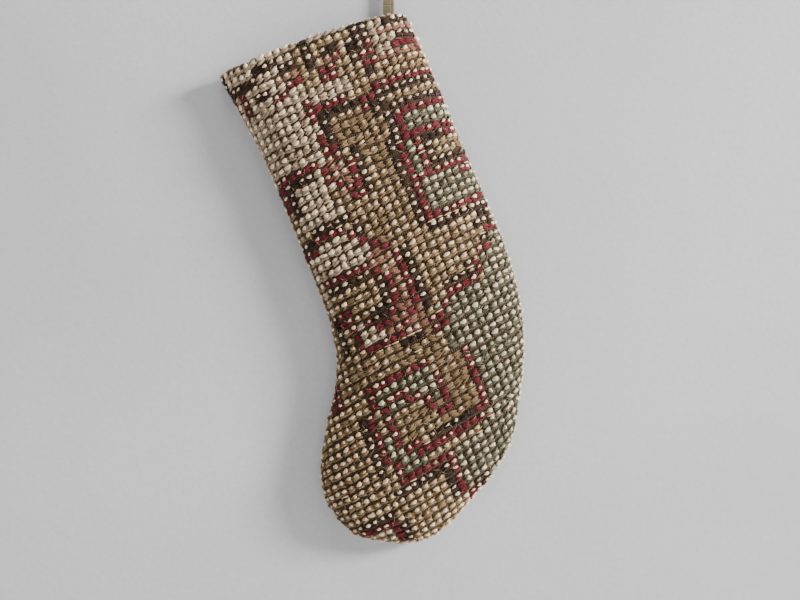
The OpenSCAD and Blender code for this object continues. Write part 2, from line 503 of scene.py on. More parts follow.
class RugPattern:
    """The weaver's chart: fields first, then the hooked outlines drawn over them.

    Columns count from the tape, negative to the toe side, and rows count from the rim.
    """

    FIELDS = (
        blocks(Wool.CAMEL, (-40, -8, 12, 70))
        + blocks(Wool.CREAM, (-24, -8, -13, 13), (-12, -8, 6, 4), (-19, 22, -13, 26),
                 (-18, 32, -14, 34))
        + blocks(Wool.CAMEL, (-12, 0, -6, 6), (-4, 4, 5, 6), (-18, 16, -12, 20))
        + blocks(Wool.CREAM, (-20, 16, -14, 16), (-18, 23, -14, 24), (-12, 5, -8, 6),
                 (-18, 19, -14, 19), (-20, 28, -14, 28))
        + blocks(Wool.SAGE, (-3, 12, 5, 13), (-4, 15, -4, 18), (-4, 20, 5, 24),
                 (1, 29, 8, 33), (-1, 31, 8, 33), (-8, 34, 10, 39), (-6, 40, 10, 48),
                 (-8, 49, 10, 49), (-12, 50, 8, 60), (-18, 40, -12, 42),
                 (-19, 45, -18, 48), (-18, 48, -16, 49), (-14, 40, -12, 43))
        + blocks(Wool.ROSE, (-13, 13, -10, 17), (-12, 26, -11, 33), (-15, 33, -10, 35))
    )

    RIM = (
        blocks(Wool.BROWN, (-21, 1, -18, 1), (-17, 0, -15, 0), (-18, 3, -17, 3),
               (-16, -2, -15, -2), (-11, -1, -11, 2), (-6, 1, -6, 3), (-5, -1, -4, 1),
               (-5, 2, -5, 5), (-1, 0, 3, 0), (-9, 1, -8, 1), (-14, 1, -13, 1), (0, 2, 3, 2),
               (-23, -1, -22, 1))
        + blocks(Wool.CRIMSON, (-16, 4, -15, 4), (-14, 3, -13, 3), (-10, 3, -9, 4),
                 (-5, 3, -4, 4), (-4, 2, -4, 2), (-1, 3, 0, 3), (1, 3, 2, 4), (-20, 2, -20, 4),
                 (-22, 2, -22, 3), (-8, 2, -8, 2))
        + blocks(Wool.ROSE, (-15, 2, -13, 2), (-9, 2, -9, 2), (-2, 1, 2, 1), (-3, 4, 1, 4))
    )

    UPPER_HOOK = (
        blocks(Wool.CRIMSON, (-13, 6, -13, 8), (-12, 7, -9, 7), (-7, 8, -6, 8), (-7, 9, -7, 9),
               (-13, 10, -13, 12))
        + blocks(Wool.BROWN, (-12, 8, -8, 8), (-12, 9, -12, 13), (-6, 9, -5, 10),
                 (-5, 7, -5, 8))
        + blocks(Wool.CAMEL, (-11, 9, -8, 14))
    )

    RIGHT_BANDS = (
        blocks(Wool.CRIMSON, (-5, 7, 5, 7), (-4, 11, 5, 11), (-4, 12, -4, 13), (-5, 14, 5, 14),
               (-1, 15, 2, 15))
        + blocks(Wool.BROWN, (-5, 8, 5, 8), (-5, 10, 5, 10), (-5, 11, -5, 14), (-3, 15, -1, 15))
        + blocks(Wool.CAMEL, (-4, 9, 5, 9))
    )

    STEM = (
        blocks(Wool.CAMEL, (-9, 14, -7, 19))
        + blocks(Wool.BROWN, (-10, 13, -10, 18), (-6, 14, -6, 24))
        + blocks(Wool.CRIMSON, (-5, 15, -5, 18), (-5, 19, -5, 23), (-3, 15, -3, 18))
    )

    BOX = (
        blocks(Wool.BROWN, (-2, 15, 0, 15), (-2, 18, 4, 18), (-2, 16, -2, 17))
        + blocks(Wool.CAMEL, (-1, 16, 4, 17))
        + blocks(Wool.CRIMSON, (-4, 19, 4, 19), (1, 20, 4, 20), (-5, 24, -1, 24), (0, 24, 4, 24))
        + blocks(Wool.BROWN, (-5, 25, 4, 25), (-3, 24, -3, 24), (1, 26, 2, 27))
    )

    LEFT_HOOK = (
        blocks(Wool.CREAM, (-19, 14, -15, 19))
        + blocks(Wool.CRIMSON, (-20, 13, -15, 13), (-22, 14, -20, 16), (-14, 14, -14, 15),
                 (-13, 16, -13, 16), (-12, 17, -12, 18), (-11, 14, -11, 18),
                 (-12, 12, -12, 13), (-18, 21, -15, 21), (-21, 22, -19, 22),
                 (-14, 22, -14, 22), (-13, 23, -13, 23), (-12, 24, -12, 24), (-11, 25, -11, 25))
        + blocks(Wool.BROWN, (-19, 14, -16, 14), (-19, 15, -19, 17), (-21, 21, -19, 21),
                 (-18, 20, -14, 20), (-13, 21, -13, 22), (-11, 19, -11, 19))
        + blocks(Wool.CAMEL, (-13, 19, -7, 20), (-12, 21, -7, 23), (-10, 24, -7, 24))
    )

    MIDDLE = (
        blocks(Wool.CAMEL, (-19, 28, -14, 31))
        + blocks(Wool.CREAM, (-20, 23, -14, 25), (-18, 32, -14, 34), (-20, 26, -20, 29))
        + blocks(Wool.ROSE, (-13, 25, -12, 26), (-11, 26, -11, 33), (-14, 34, -12, 34))
        + blocks(Wool.CRIMSON, (-19, 26, -14, 26), (-13, 27, -13, 27), (-12, 28, -12, 31),
                 (-13, 32, -13, 32), (-15, 33, -14, 33), (-16, 32, -16, 32),
                 (-10, 26, -10, 32), (-11, 33, -11, 33), (-12, 34, -12, 34),
                 (-17, 35, -13, 35), (-18, 32, -18, 34), (-19, 30, -18, 31),
                 (-9, 35, -8, 36), (-7, 34, -7, 34), (-24, 37, -23, 39))
        + blocks(Wool.BROWN, (-19, 27, -14, 27), (-13, 28, -13, 31), (-15, 31, -14, 32),
                 (-9, 26, -9, 33), (-20, 30, -20, 34), (-13, 36, -11, 36))
        + blocks(Wool.CAMEL, (-20, 36, -14, 37), (-12, 37, -10, 38))
    )

    RIGHT_HOOK = (
        blocks(Wool.CRIMSON, (1, 28, 4, 28), (-1, 30, 0, 30), (-2, 31, -2, 32),
               (-6, 33, -3, 33))
        + blocks(Wool.BROWN, (-6, 32, -3, 32), (-3, 31, -3, 31), (0, 27, 2, 27), (0, 29, 0, 29))
    )

    SPIRAL = (
        blocks(Wool.CRIMSON, (-19, 39, -12, 39), (-19, 40, -19, 41), (-20, 42, -20, 47),
               (-19, 48, -19, 49), (-19, 50, -13, 50), (-17, 41, -15, 41), (-18, 42, -18, 46),
               (-17, 47, -16, 47), (-16, 48, -9, 48), (-8, 47, -8, 48), (-7, 40, -7, 47),
               (-15, 42, -14, 42), (-13, 43, -13, 44), (-12, 45, -11, 45), (-11, 41, -11, 45),
               (-13, 51, -13, 55), (-12, 57, -10, 58), (-12, 56, -12, 56))
        + blocks(Wool.BROWN, (-14, 47, -9, 47), (-20, 51, -14, 51), (-21, 42, -21, 48),
                 (-14, 51, -14, 55), (-17, 45, -17, 46))
        + blocks(Wool.CAMEL, (-17, 43, -14, 46), (-14, 46, -9, 46), (-10, 40, -8, 45),
                 (-13, 46, -9, 46), (-20, 52, -15, 60))
    )

    TOE = (
        blocks(Wool.CREAM, (-26, 55, -22, 60))
        + blocks(Wool.BROWN, (-26, 53, -22, 53), (-21, 55, -21, 57), (-11, 55, -10, 56))
        + blocks(Wool.CRIMSON, (-26, 54, -22, 54), (-22, 55, -22, 57))
    )

    # Where the wool still covers the nubs
    COVERED = ((-12, 8, -7, 12), (-8, 13, -7, 19), (-20, 36, -10, 38), (-10, 39, -8, 47),
               (-17, 44, -9, 46), (-14, 32, -11, 34), (-16, 48, -9, 48), (-12, 22, -10, 25))

    def __init__(self) -> None:
        """Works the blocks into a chart of single knots, later motifs over earlier ones."""
        self.chart: dict[tuple[int, int], Wool] = {}
        drawn = (self.FIELDS, self.RIM, self.UPPER_HOOK, self.RIGHT_BANDS, self.STEM, self.BOX,
                 self.LEFT_HOOK, self.MIDDLE, self.RIGHT_HOOK, self.SPIRAL, self.TOE)
        for motif in drawn:
            for block in motif:
                for i in range(block.left, block.right + 1):
                    for j in range(block.top, block.bottom + 1):
                        self.chart[i, j] = block.wool

    def wool(self, column: int, row: int) -> Wool:
        """Looks up the wool of a knot.

        Args:
            column: Column of the knot.
            row: Row of the knot.

        Returns:
            Its wool.
        """
        return self.chart.get((column, row), Wool.CAMEL)

    def covered(self, column: int, row: int) -> bool:
        """Tells where the pile is less worn.

        Args:
            column: Column of the knot.
            row: Row of the knot.

        Returns:
            Whether the wool still covers the nub there.
        """
        return any(a <= column <= c and b <= row <= d for a, b, c, d in self.COVERED)


# ---------------------------------------------------------------- modelling helpers


Shape = Callable[[np.ndarray, np.ndarray], np.ndarray]


class Bench:
    """Operator steps that every sub-assembly uses."""

    @staticmethod
    def clear() -> None:
        """Leaves nothing selected, in object mode."""
        if bpy.context.mode != "OBJECT":
            bpy.ops.object.mode_set(mode="OBJECT")
        bpy.ops.object.select_all(action="DESELECT")

    @classmethod
    def pick(cls, obj: bpy.types.Object) -> None:
        """Selects one object.

        Args:
            obj: The one object to select and make active.
        """
        cls.clear()
        obj.select_set(True)
        bpy.context.view_layer.objects.active = obj

    @classmethod
    def grid(cls, name: str, columns: int, rows: int, shape: Shape,
             flat: Shape | None = None, outwards: Sequence[float] | None = None,
             closed: bool = False) -> bpy.types.Object:
        """Makes a grid primitive and lays it along a surface.

        Args:
            name: Name of the piece.
            columns: Faces across.
            rows: Faces along.
            shape: Gives points in metres from two numbers, each 0 to 1.
            flat: Gives the cloth's own coordinates, for the weave.
            outwards: A direction that most faces look towards.
            closed: Whether the grid closes into a solid of its own.

        Returns:
            The new object.
        """
        cls.clear()
        bpy.ops.mesh.primitive_grid_add(x_subdivisions=columns, y_subdivisions=rows, size=2.0)
        obj = bpy.context.object
        obj.name = name
        obj.data.name = name
        mesh = obj.data
        co = np.empty(3 * len(mesh.vertices))
        mesh.vertices.foreach_get("co", co)
        a, b = (co.reshape(-1, 3)[:, 0] + 1.0) / 2.0, (co.reshape(-1, 3)[:, 1] + 1.0) / 2.0
        mesh.vertices.foreach_set("co", np.asarray(shape(a, b), float).ravel())
        if flat is not None:
            at = np.empty(len(mesh.loops), int)
            mesh.loops.foreach_get("vertex_index", at)
            mesh.uv_layers[0].data.foreach_set("uv", flat(a, b)[at].ravel())
        mesh.update()
        bpy.ops.object.mode_set(mode="EDIT")
        bpy.ops.mesh.select_all(action="SELECT")
        bpy.ops.mesh.remove_doubles(threshold=2e-6)
        if closed:
            bpy.ops.mesh.normals_make_consistent(inside=False)
        bpy.ops.object.mode_set(mode="OBJECT")
        if outwards is not None:
            normals = np.empty(3 * len(mesh.polygons))
            mesh.polygons.foreach_get("normal", normals)
            if (normals.reshape(-1, 3) @ np.asarray(outwards)).sum() < 0:
                bpy.ops.object.mode_set(mode="EDIT")
                bpy.ops.mesh.select_all(action="SELECT")
                bpy.ops.mesh.flip_normals()
                bpy.ops.object.mode_set(mode="OBJECT")
        bpy.ops.object.shade_smooth()
        return obj

    @classmethod
    def thicken(cls, obj: bpy.types.Object, thickness: float, offset: float) -> None:
        """Gives a sheet its thickness.

        Args:
            obj: A sheet of faces.
            thickness: Its thickness, in millimetres.
            offset: -1 to grow under the faces, 0 to both sides.
        """
        cls.pick(obj)
        solid = obj.modifiers.new("Thickness", "SOLIDIFY")
        solid.thickness = thickness * MM
        solid.offset = offset
        solid.use_even_offset = False
        bpy.ops.object.modifier_apply(modifier=solid.name)

    @classmethod
    def tube(cls, name: str, sides: int, rings: int,
             ring: Callable[[np.ndarray, np.ndarray], np.ndarray]) -> bpy.types.Object:
        """Makes a closed tube whose two ends run to a point.

        Args:
            name: Name of the piece.
            sides: Faces round it.
            rings: Faces along it.
            ring: Gives points from the turn, 0 to 1, and the place along, 0 to 1.

        Returns:
            The new object.
        """
        return cls.grid(name, sides, rings, ring, flat=lambda a, b: np.stack([a, b], axis=1),
                        closed=True)

    @staticmethod
    def remove(objects: Iterable[bpy.types.Object]) -> None:
        """Deletes templates.

        Args:
            objects: Templates that are no longer needed.
        """
        for obj in objects:
            mesh = obj.data
            bpy.data.objects.remove(obj)
            bpy.data.meshes.remove(mesh)


@dataclass
class Copies:
    """Copies of one template: a place, three directions and two numbers for each."""

    template: bpy.types.Object
    places: list[np.ndarray] = field(default_factory=list)
    frames: list[np.ndarray] = field(default_factory=list)
    marks: list[float] = field(default_factory=list)

    def add(self, place: np.ndarray, axes: np.ndarray, mark: float) -> None:
        """Adds one copy.

        Args:
            place: Where the template's origin goes, in metres.
            axes: Rows are where its X, Y and Z go.
            mark: A number of its own, for its finish.
        """
        self.places.append(place)
        self.frames.append(axes)
        self.marks.append(mark)


def gather(name: str, groups: Sequence[Copies]) -> bpy.types.Object | None:
    """Makes one piece out of many copies, each with faces of its own.

    The UV map holds each copy's own number and the height within the copy.

    Args:
        name: Name of the piece.
        groups: The copies, by template.

    Returns:
        The new object, or None where there are no copies.
    """
    vertices, faces, uvs, start = [], [], [], 0
    for group in groups:
        if not group.places:
            continue
        mesh = group.template.data
        co = np.array([v.co[:] for v in mesh.vertices])
        low, high = co[:, 2].min(), co[:, 2].max()
        rise = (co[:, 2] - low) / max(high - low, 1e-9)
        polygons = [tuple(p.vertices) for p in mesh.polygons]
        loops = np.array([i for p in polygons for i in p])
        for place, axes, mark in zip(group.places, group.frames, group.marks):
            vertices.append(co @ axes + place)
            faces.extend(tuple(i + start for i in p) for p in polygons)
            uvs.append(np.column_stack([np.full(len(loops), mark), rise[loops]]))
            start += len(co)
    if not vertices:
        return None
    mesh = bpy.data.meshes.new(name)
    mesh.from_pydata(np.vstack(vertices).tolist(), [], faces)
    layer = mesh.uv_layers.new(name="UVMap")
    layer.data.foreach_set("uv", np.vstack(uvs).ravel())
    mesh.update()
    obj = bpy.data.objects.new(name, mesh)
    bpy.context.collection.objects.link(obj)
    Bench.pick(obj)
    bpy.ops.object.shade_smooth()
    return obj


# ---------------------------------------------------------------- shader helpers


class Value:
    """A shader socket that takes part in sums, so that a finish reads as its formula."""

    def __init__(self, graph: "Graph", socket: bpy.types.NodeSocket) -> None:
        """Wraps one output of a node.

        Args:
            graph: The material's graph.
            socket: The output socket that holds the value.
        """
        self.graph = graph
        self.socket = socket

    def _math(self, operation: str, *others: "Value | float", swap: bool = False) -> "Value":
        """Adds a Math node.

        Args:
            operation: Operation of the Math node.
            others: The terms after this one.
            swap: Whether the terms go in from last to first.

        Returns:
            The result.
        """
        terms: list[Value | float] = [self, *others]
        if swap:
            terms.reverse()
        inputs = dict(enumerate(terms))
        made = self.graph.node("ShaderNodeMath", {"operation": operation}, inputs)
        return Value(self.graph, made.outputs[0])

    def __add__(self, other: "Value | float") -> "Value":
        """Adds a value or a number."""
        return self._math("ADD", other)

    def __radd__(self, other: float) -> "Value":
        """Adds to a number."""
        return self._math("ADD", other)

    def __sub__(self, other: "Value | float") -> "Value":
        """Takes away a value or a number."""
        return self._math("SUBTRACT", other)

    def __rsub__(self, other: float) -> "Value":
        """Is taken away from a number."""
        return self._math("SUBTRACT", other, swap=True)

    def __mul__(self, other: "Value | float") -> "Value":
        """Multiplies by a value or a number."""
        return self._math("MULTIPLY", other)

    def __rmul__(self, other: float) -> "Value":
        """Multiplies a number."""
        return self._math("MULTIPLY", other)

    def sine(self) -> "Value":
        """Takes the sine.

        Returns:
            The sine of the value.
        """
        return self._math("SINE")

    def size(self) -> "Value":
        """Drops the sign.

        Returns:
            The value without its sign.
        """
        return self._math("ABSOLUTE")

    def step(self, low: float, high: float) -> "Value":
        """Steps smoothly from 0 to 1.

        Args:
            low: Value that gives 0.
            high: Value that gives 1.

        Returns:
            A smooth step between the two.
        """
        made = self.graph.node(
            "ShaderNodeMapRange", {"interpolation_type": "SMOOTHSTEP"},
            {"Value": self, "From Min": low, "From Max": high})
        return Value(self.graph, made.outputs[0])


class Graph:
    """The node graph of one material."""

    def __init__(self, name: str) -> None:
        """Starts a material with its shader and its output.

        Args:
            name: Name of the material.
        """
        self.material = bpy.data.materials.new(name)
        self.material.use_nodes = True
        self.tree = self.material.node_tree
        self.tree.nodes.clear()
        self.output = self.node("ShaderNodeOutputMaterial")
        self.surface = self.node("ShaderNodeBsdfPrincipled")
        self.tree.links.new(self.surface.outputs[0], self.output.inputs[0])

    def node(self, kind: str, settings: dict | None = None,
             inputs: dict | None = None) -> bpy.types.Node:
        """Adds a node.

        Args:
            kind: Type of the node.
            settings: Its properties.
            inputs: Values or links for its sockets, by name or number.

        Returns:
            The new node.
        """
        made = self.tree.nodes.new(kind)
        for key, value in (settings or {}).items():
            setattr(made, key, value)
        for key, value in (inputs or {}).items():
            self.feed(made.inputs[key], value)
        return made

    def feed(self, socket: bpy.types.NodeSocket, value: object) -> None:
        """Links or sets a socket.

        Args:
            socket: Input socket of a node.
            value: A Value or a socket to link, or a constant to set.
        """
        if isinstance(value, Value):
            self.tree.links.new(value.socket, socket)
        elif isinstance(value, bpy.types.NodeSocket):
            self.tree.links.new(value, socket)
        else:
            socket.default_value = value

    def place(self) -> bpy.types.NodeSocket:
        """Reads where a point lies on the object.

        Returns:
            Object coordinates, in metres.
        """
        return self.node("ShaderNodeTexCoord").outputs["Object"]

    def uv(self) -> tuple[Value, Value]:
        """Reads the piece's own coordinates.

        Returns:
            The two numbers of the UV map.
        """
        coordinates = self.node("ShaderNodeTexCoord")
        parts = self.node("ShaderNodeSeparateXYZ", None, {0: coordinates.outputs["UV"]})
        return Value(self, parts.outputs[0]), Value(self, parts.outputs[1])

    def noise(self, scale: float, detail: float = 3.0, roughness: float = 0.6,
              vector: bpy.types.NodeSocket | None = None) -> Value:
        """Adds soft spots.

        Args:
            scale: Spots for each metre.
            detail: Octaves of finer spots.
            roughness: How strong the finer spots are.
            vector: Coordinates; object coordinates if left out.

        Returns:
            A value about 0.5.
        """
        made = self.node("ShaderNodeTexNoise", None, {
            "Vector": vector or self.place(), "Scale": scale, "Detail": detail,
            "Roughness": roughness})
        return Value(self, made.outputs[0])

    def stretched(self, x: float, y: float, z: float) -> bpy.types.NodeSocket:
        """Stretches the object coordinates.

        Args:
            x: Stretch of the coordinates along X.
            y: Stretch along Y.
            z: Stretch along Z.

        Returns:
            Object coordinates, stretched.
        """
        made = self.node("ShaderNodeVectorMath", {"operation": "MULTIPLY"},
                         {0: self.place(), 1: (x, y, z)})
        return made.outputs[0]

    def mix(self, first: object, second: object, factor: Value | float) -> Value:
        """Mixes two colours.

        Args:
            first: Colour at factor 0.
            second: Colour at factor 1.
            factor: How much of the second.

        Returns:
            The mixed colour.
        """
        made = self.node("ShaderNodeMix", {"data_type": "RGBA", "clamp_factor": True},
                         {0: factor, 6: first, 7: second})
        return Value(self, made.outputs[2])

    def finish(self, colour: Value, roughness: Value | float, bump: Value | None = None,
               strength: float = 0.5, distance: float = 0.0004,
               sheen: float = 0.0) -> bpy.types.Material:
        """Feeds the shader and gives the material.

        Args:
            colour: Base colour.
            roughness: Roughness.
            bump: Height of the fine relief.
            strength: Strength of the relief.
            distance: Height that 1 stands for, in metres.
            sheen: Weight of the soft sheen of fibres.

        Returns:
            The finished material.
        """
        self.feed(self.surface.inputs["Base Color"], colour)
        self.feed(self.surface.inputs["Roughness"], roughness)
        self.surface.inputs["Specular IOR Level"].default_value = 0.18
        self.surface.inputs["Sheen Weight"].default_value = sheen
        self.surface.inputs["Sheen Roughness"].default_value = 0.6
        if bump is not None:
            relief = self.node("ShaderNodeBump", None, {
                "Strength": strength, "Distance": distance, "Height": bump})
            self.feed(self.surface.inputs["Normal"], relief.outputs[0])
        return self.material


# ---------------------------------------------------------------- finishes


Colour = tuple[float, float, float, float]


@dataclass(frozen=True)
class WoolFinish:
    """Old pile wool: deep colour and painted shade at the root, faded and dusty at the worn top.
    """

    name: str
    root_and_painted_shade: Colour
    body: Colour
    worn: Colour

    def material(self) -> bpy.types.Material:
        """Builds the wool, which is darker at the root of each knot, from deeper, less-faded
        wool and painted shade between the knots, and fades towards the top.

        Returns:
            The wool's material.
        """
        g = Graph(self.name)
        own, height = g.uv()
        fuzz = g.noise(900.0, 4.0, 0.7)
        strand = g.noise(420.0, 2.0, 0.5, g.stretched(1.0, 1.0, 3.2))
        patch = g.noise(34.0, 2.0, 0.5)
        worn = height * 0.5 + own * 0.35 + fuzz * 1.5 + patch * 0.5 - 1.35
        # painted shade: the lower part of each knot darkens towards the root colour, partly as
        # shade between the knots and partly as deeper, less-faded wool
        depth = height * 1.2 + (strand - 0.5) * 1.6 - 0.15
        tone = g.mix(self.root_and_painted_shade, self.body, depth.step(0.0, 1.0))
        colour = g.mix(tone, self.worn, worn.step(0.05, 0.95))
        rough = 0.86 + fuzz * 0.12
        return g.finish(colour, rough, fuzz + strand * 0.8, 0.8, 0.0009, 0.06)


@dataclass(frozen=True)
class NubFinish:
    """Pale cotton nub that stands out of the worn pile, spun with a fine twist."""

    name: str
    hollow_shade_and_dust: Colour
    bright: Colour

    def material(self) -> bpy.types.Material:
        """Builds the cotton, which is darker towards its base, with dust and painted shade in
        its hollows.

        Returns:
            The cotton's material.
        """
        g = Graph(self.name)
        own, height = g.uv()
        fuzz = g.noise(1100.0, 3.0, 0.6)
        ply = g.noise(520.0, 1.0, 0.4, g.stretched(0.8, 1.0, 2.6))
        # painted shade and dust: the nub darkens towards its base and its hollows, where the
        # wool round it shades it
        shade_and_dust_mask = height * 1.1 + (own - 0.5) * 1.1 + (fuzz - 0.5) * 1.6 + (ply - 0.5) * 1.2
        colour = g.mix(self.hollow_shade_and_dust, self.bright, shade_and_dust_mask.step(0.12, 0.95))
        rough = 0.8 + fuzz * 0.14
        return g.finish(colour, rough, ply + fuzz * 0.6, 0.7, 0.0006, 0.05)


@dataclass(frozen=True)
class GroundFinish:
    """Warp and weft of the rug's ground, darkened by dirt and by painted shade for the deep gaps
    between the knots.
    """

    name: str
    dirt_and_painted_shade: Colour
    pale: Colour

    def material(self) -> bpy.types.Material:
        """Builds the ground, with a thread for each warp and weft.

        Returns:
            The ground's material.
        """
        g = Graph(self.name)
        u, v = g.uv()
        warp = (u * (2.0 * pi / SIZES.knot_w * 2.0)).sine()
        weft = (v * (2.0 * pi / SIZES.knot_h * 2.0)).sine()
        fuzz = g.noise(700.0, 4.0, 0.65)
        thread = (warp * weft).size()
        # painted shade and dirt: the ground shows only between the knots, so its dark tone
        # stands for their shade as well as for age
        colour = g.mix(self.dirt_and_painted_shade, self.pale, (thread * 0.6 + fuzz * 0.8).step(0.35, 1.25))
        return g.finish(colour, 0.9 + fuzz * 0.05, thread + fuzz * 0.6, 0.8, 0.0006, 0.1)


@dataclass(frozen=True)
class WovenFinish:
    """Plain weave cloth with slubs; the UV map is in millimetres of the cloth."""

    name: str
    shade: Colour
    light: Colour
    pitch: float
    slub: float = 0.5
    twill: bool = False

    def material(self) -> bpy.types.Material:
        """Builds the weave with its slubs.

        Returns:
            The cloth's material.
        """
        g = Graph(self.name)
        u, v = g.uv()
        turn = 2.0 * pi / self.pitch
        if self.twill:
            rib = ((u + v) * turn).sine()
            cross = ((v - u * 0.25) * (turn * 2.0)).sine()
            weave = rib * 0.4 + cross * 0.12 + 0.5
        else:
            over = (u * turn).sine()
            under = (v * turn).sine()
            weave = over * under * 0.5 + 0.5
        long_u = g.noise(1.0, 3.0, 0.6, self._stretch(g, u, v, 0.05, 1.1))
        long_v = g.noise(1.0, 3.0, 0.6, self._stretch(g, u, v, 1.1, 0.05))
        fuzz = g.noise(1500.0, 3.0, 0.6)
        cloud = g.noise(22.0, 3.0, 0.5)
        slubs = (long_u + long_v - 1.0) * self.slub
        tone = weave * 0.45 + slubs + (fuzz - 0.5) * 0.5 + (cloud - 0.5) * 0.22 + 0.32
        colour = g.mix(self.shade, self.light, tone.step(0.0, 1.0))
        return g.finish(colour, 0.84 + fuzz * 0.12, weave + slubs * 1.6 + fuzz * 0.25,
                        0.7, 0.00035, 0.12)

    @staticmethod
    def _stretch(g: Graph, u: Value, v: Value, along: float,
                 across: float) -> bpy.types.NodeSocket:
        """Stretches the cloth's coordinates for its slubs.

        Args:
            g: The material's graph.
            u: Place across the cloth.
            v: Place down the cloth.
            along: Scale of the coordinates across it.
            across: Scale of the coordinates down it.

        Returns:
            Cloth coordinates, stretched to the length of a slub.
        """
        made = g.node("ShaderNodeCombineXYZ", None, {0: u * along, 1: v * across})
        return made.outputs[0]


@dataclass(frozen=True)
class ThreadFinish:
    """Twisted sewing thread; the UV map runs round and along each stitch."""

    name: str
    shade: Colour
    light: Colour

    def material(self) -> bpy.types.Material:
        """Builds the twisted thread.

        Returns:
            The thread's material.
        """
        g = Graph(self.name)
        own, height = g.uv()
        twist = g.noise(1400.0, 2.0, 0.5)
        tone = height * 0.5 + (own - 0.5) * 0.4 + twist * 0.6
        colour = g.mix(self.shade, self.light, tone.step(0.1, 0.95))
        return g.finish(colour, 0.7 + twist * 0.15, twist, 0.5, 0.0002, 0.1)


class Finishes:
    """Every finish of the stocking, made once."""

    def __init__(self) -> None:
        """Makes the materials of the wools, the cottons, the cloths and the threads."""
        # Each wool: its root colour, which carries painted shade between the knots as well as
        # deeper wool, then its body and its worn top.
        wools = {
            Wool.CREAM: (srgb(94, 76, 56), srgb(156, 136, 112), srgb(206, 188, 162)),
            Wool.CAMEL: (srgb(62, 43, 24), srgb(121, 96, 65), srgb(178, 151, 117)),
            Wool.SAGE: (srgb(42, 38, 26), srgb(82, 78, 60), srgb(128, 123, 103)),
            Wool.ROSE: (srgb(70, 38, 26), srgb(130, 88, 70), srgb(178, 140, 116)),
            Wool.CRIMSON: (srgb(44, 8, 10), srgb(96, 20, 30), srgb(134, 62, 64)),
            Wool.BROWN: (srgb(14, 6, 2), srgb(40, 20, 10), srgb(84, 58, 40)),
        }
        self.wool = {kind: WoolFinish(f"wool_{kind.value}", *tones).material()
                     for kind, tones in wools.items()}
        # Each nub: the colour of its hollows, darkened by dust and painted shade, then its
        # bright top.
        self.nub = {
            Wool.CREAM: NubFinish("nub_cream", srgb(130, 104, 76),
                                  srgb(246, 222, 188)).material(),
            Wool.CAMEL: NubFinish("nub_camel", srgb(110, 80, 48),
                                  srgb(232, 202, 164)).material(),
            Wool.SAGE: NubFinish("nub_sage", srgb(92, 82, 58),
                                 srgb(208, 196, 166)).material(),
        }
        # The ground's dark tone is dirt together with painted shade, for the gaps between the
        # knots.
        self.ground = GroundFinish("rug_ground_cotton", srgb(44, 30, 16),
                                   srgb(100, 78, 52)).material()
        self.back = WovenFinish("back_linen", srgb(150, 136, 108), srgb(206, 196, 170),
                                1.3, 0.8).material()
        self.lining = WovenFinish("lining_cotton", srgb(178, 166, 140), srgb(226, 218, 198),
                                  0.9, 0.4).material()
        self.tape = WovenFinish("twill_tape", srgb(66, 57, 38), srgb(132, 122, 96),
                                1.1, 0.3, twill=True).material()
        self.thread = ThreadFinish("sewing_thread", srgb(58, 42, 28),
                                   srgb(128, 104, 78)).material()
        self.lining_thread = ThreadFinish("lining_thread", srgb(186, 176, 152),
                                          srgb(234, 228, 212)).material()


# ---------------------------------------------------------------- rug


@dataclass(frozen=True)
class Wear:
    """How one wool has worn.

    nubs is the share of its knots that show a nub, fill how much of a row's height the knots
    take, and nub_size how large the nubs are.
    """

    nubs: float
    fill: float
    nub_size: float


WEAR = {
    Wool.CREAM: Wear(1.0, 1.14, 1.06),
    Wool.CAMEL: Wear(0.98, 1.02, 0.93),
    Wool.SAGE: Wear(1.0, 1.06, 0.96),
    Wool.ROSE: Wear(0.75, 1.08, 0.86),
    Wool.CRIMSON: Wear(0.6, 1.02, 0.76),
    Wool.BROWN: Wear(0.82, 1.02, 0.82),
}
# Share of a cloth's grid rows that its turned hem takes
HEM_SHARE = 0.12


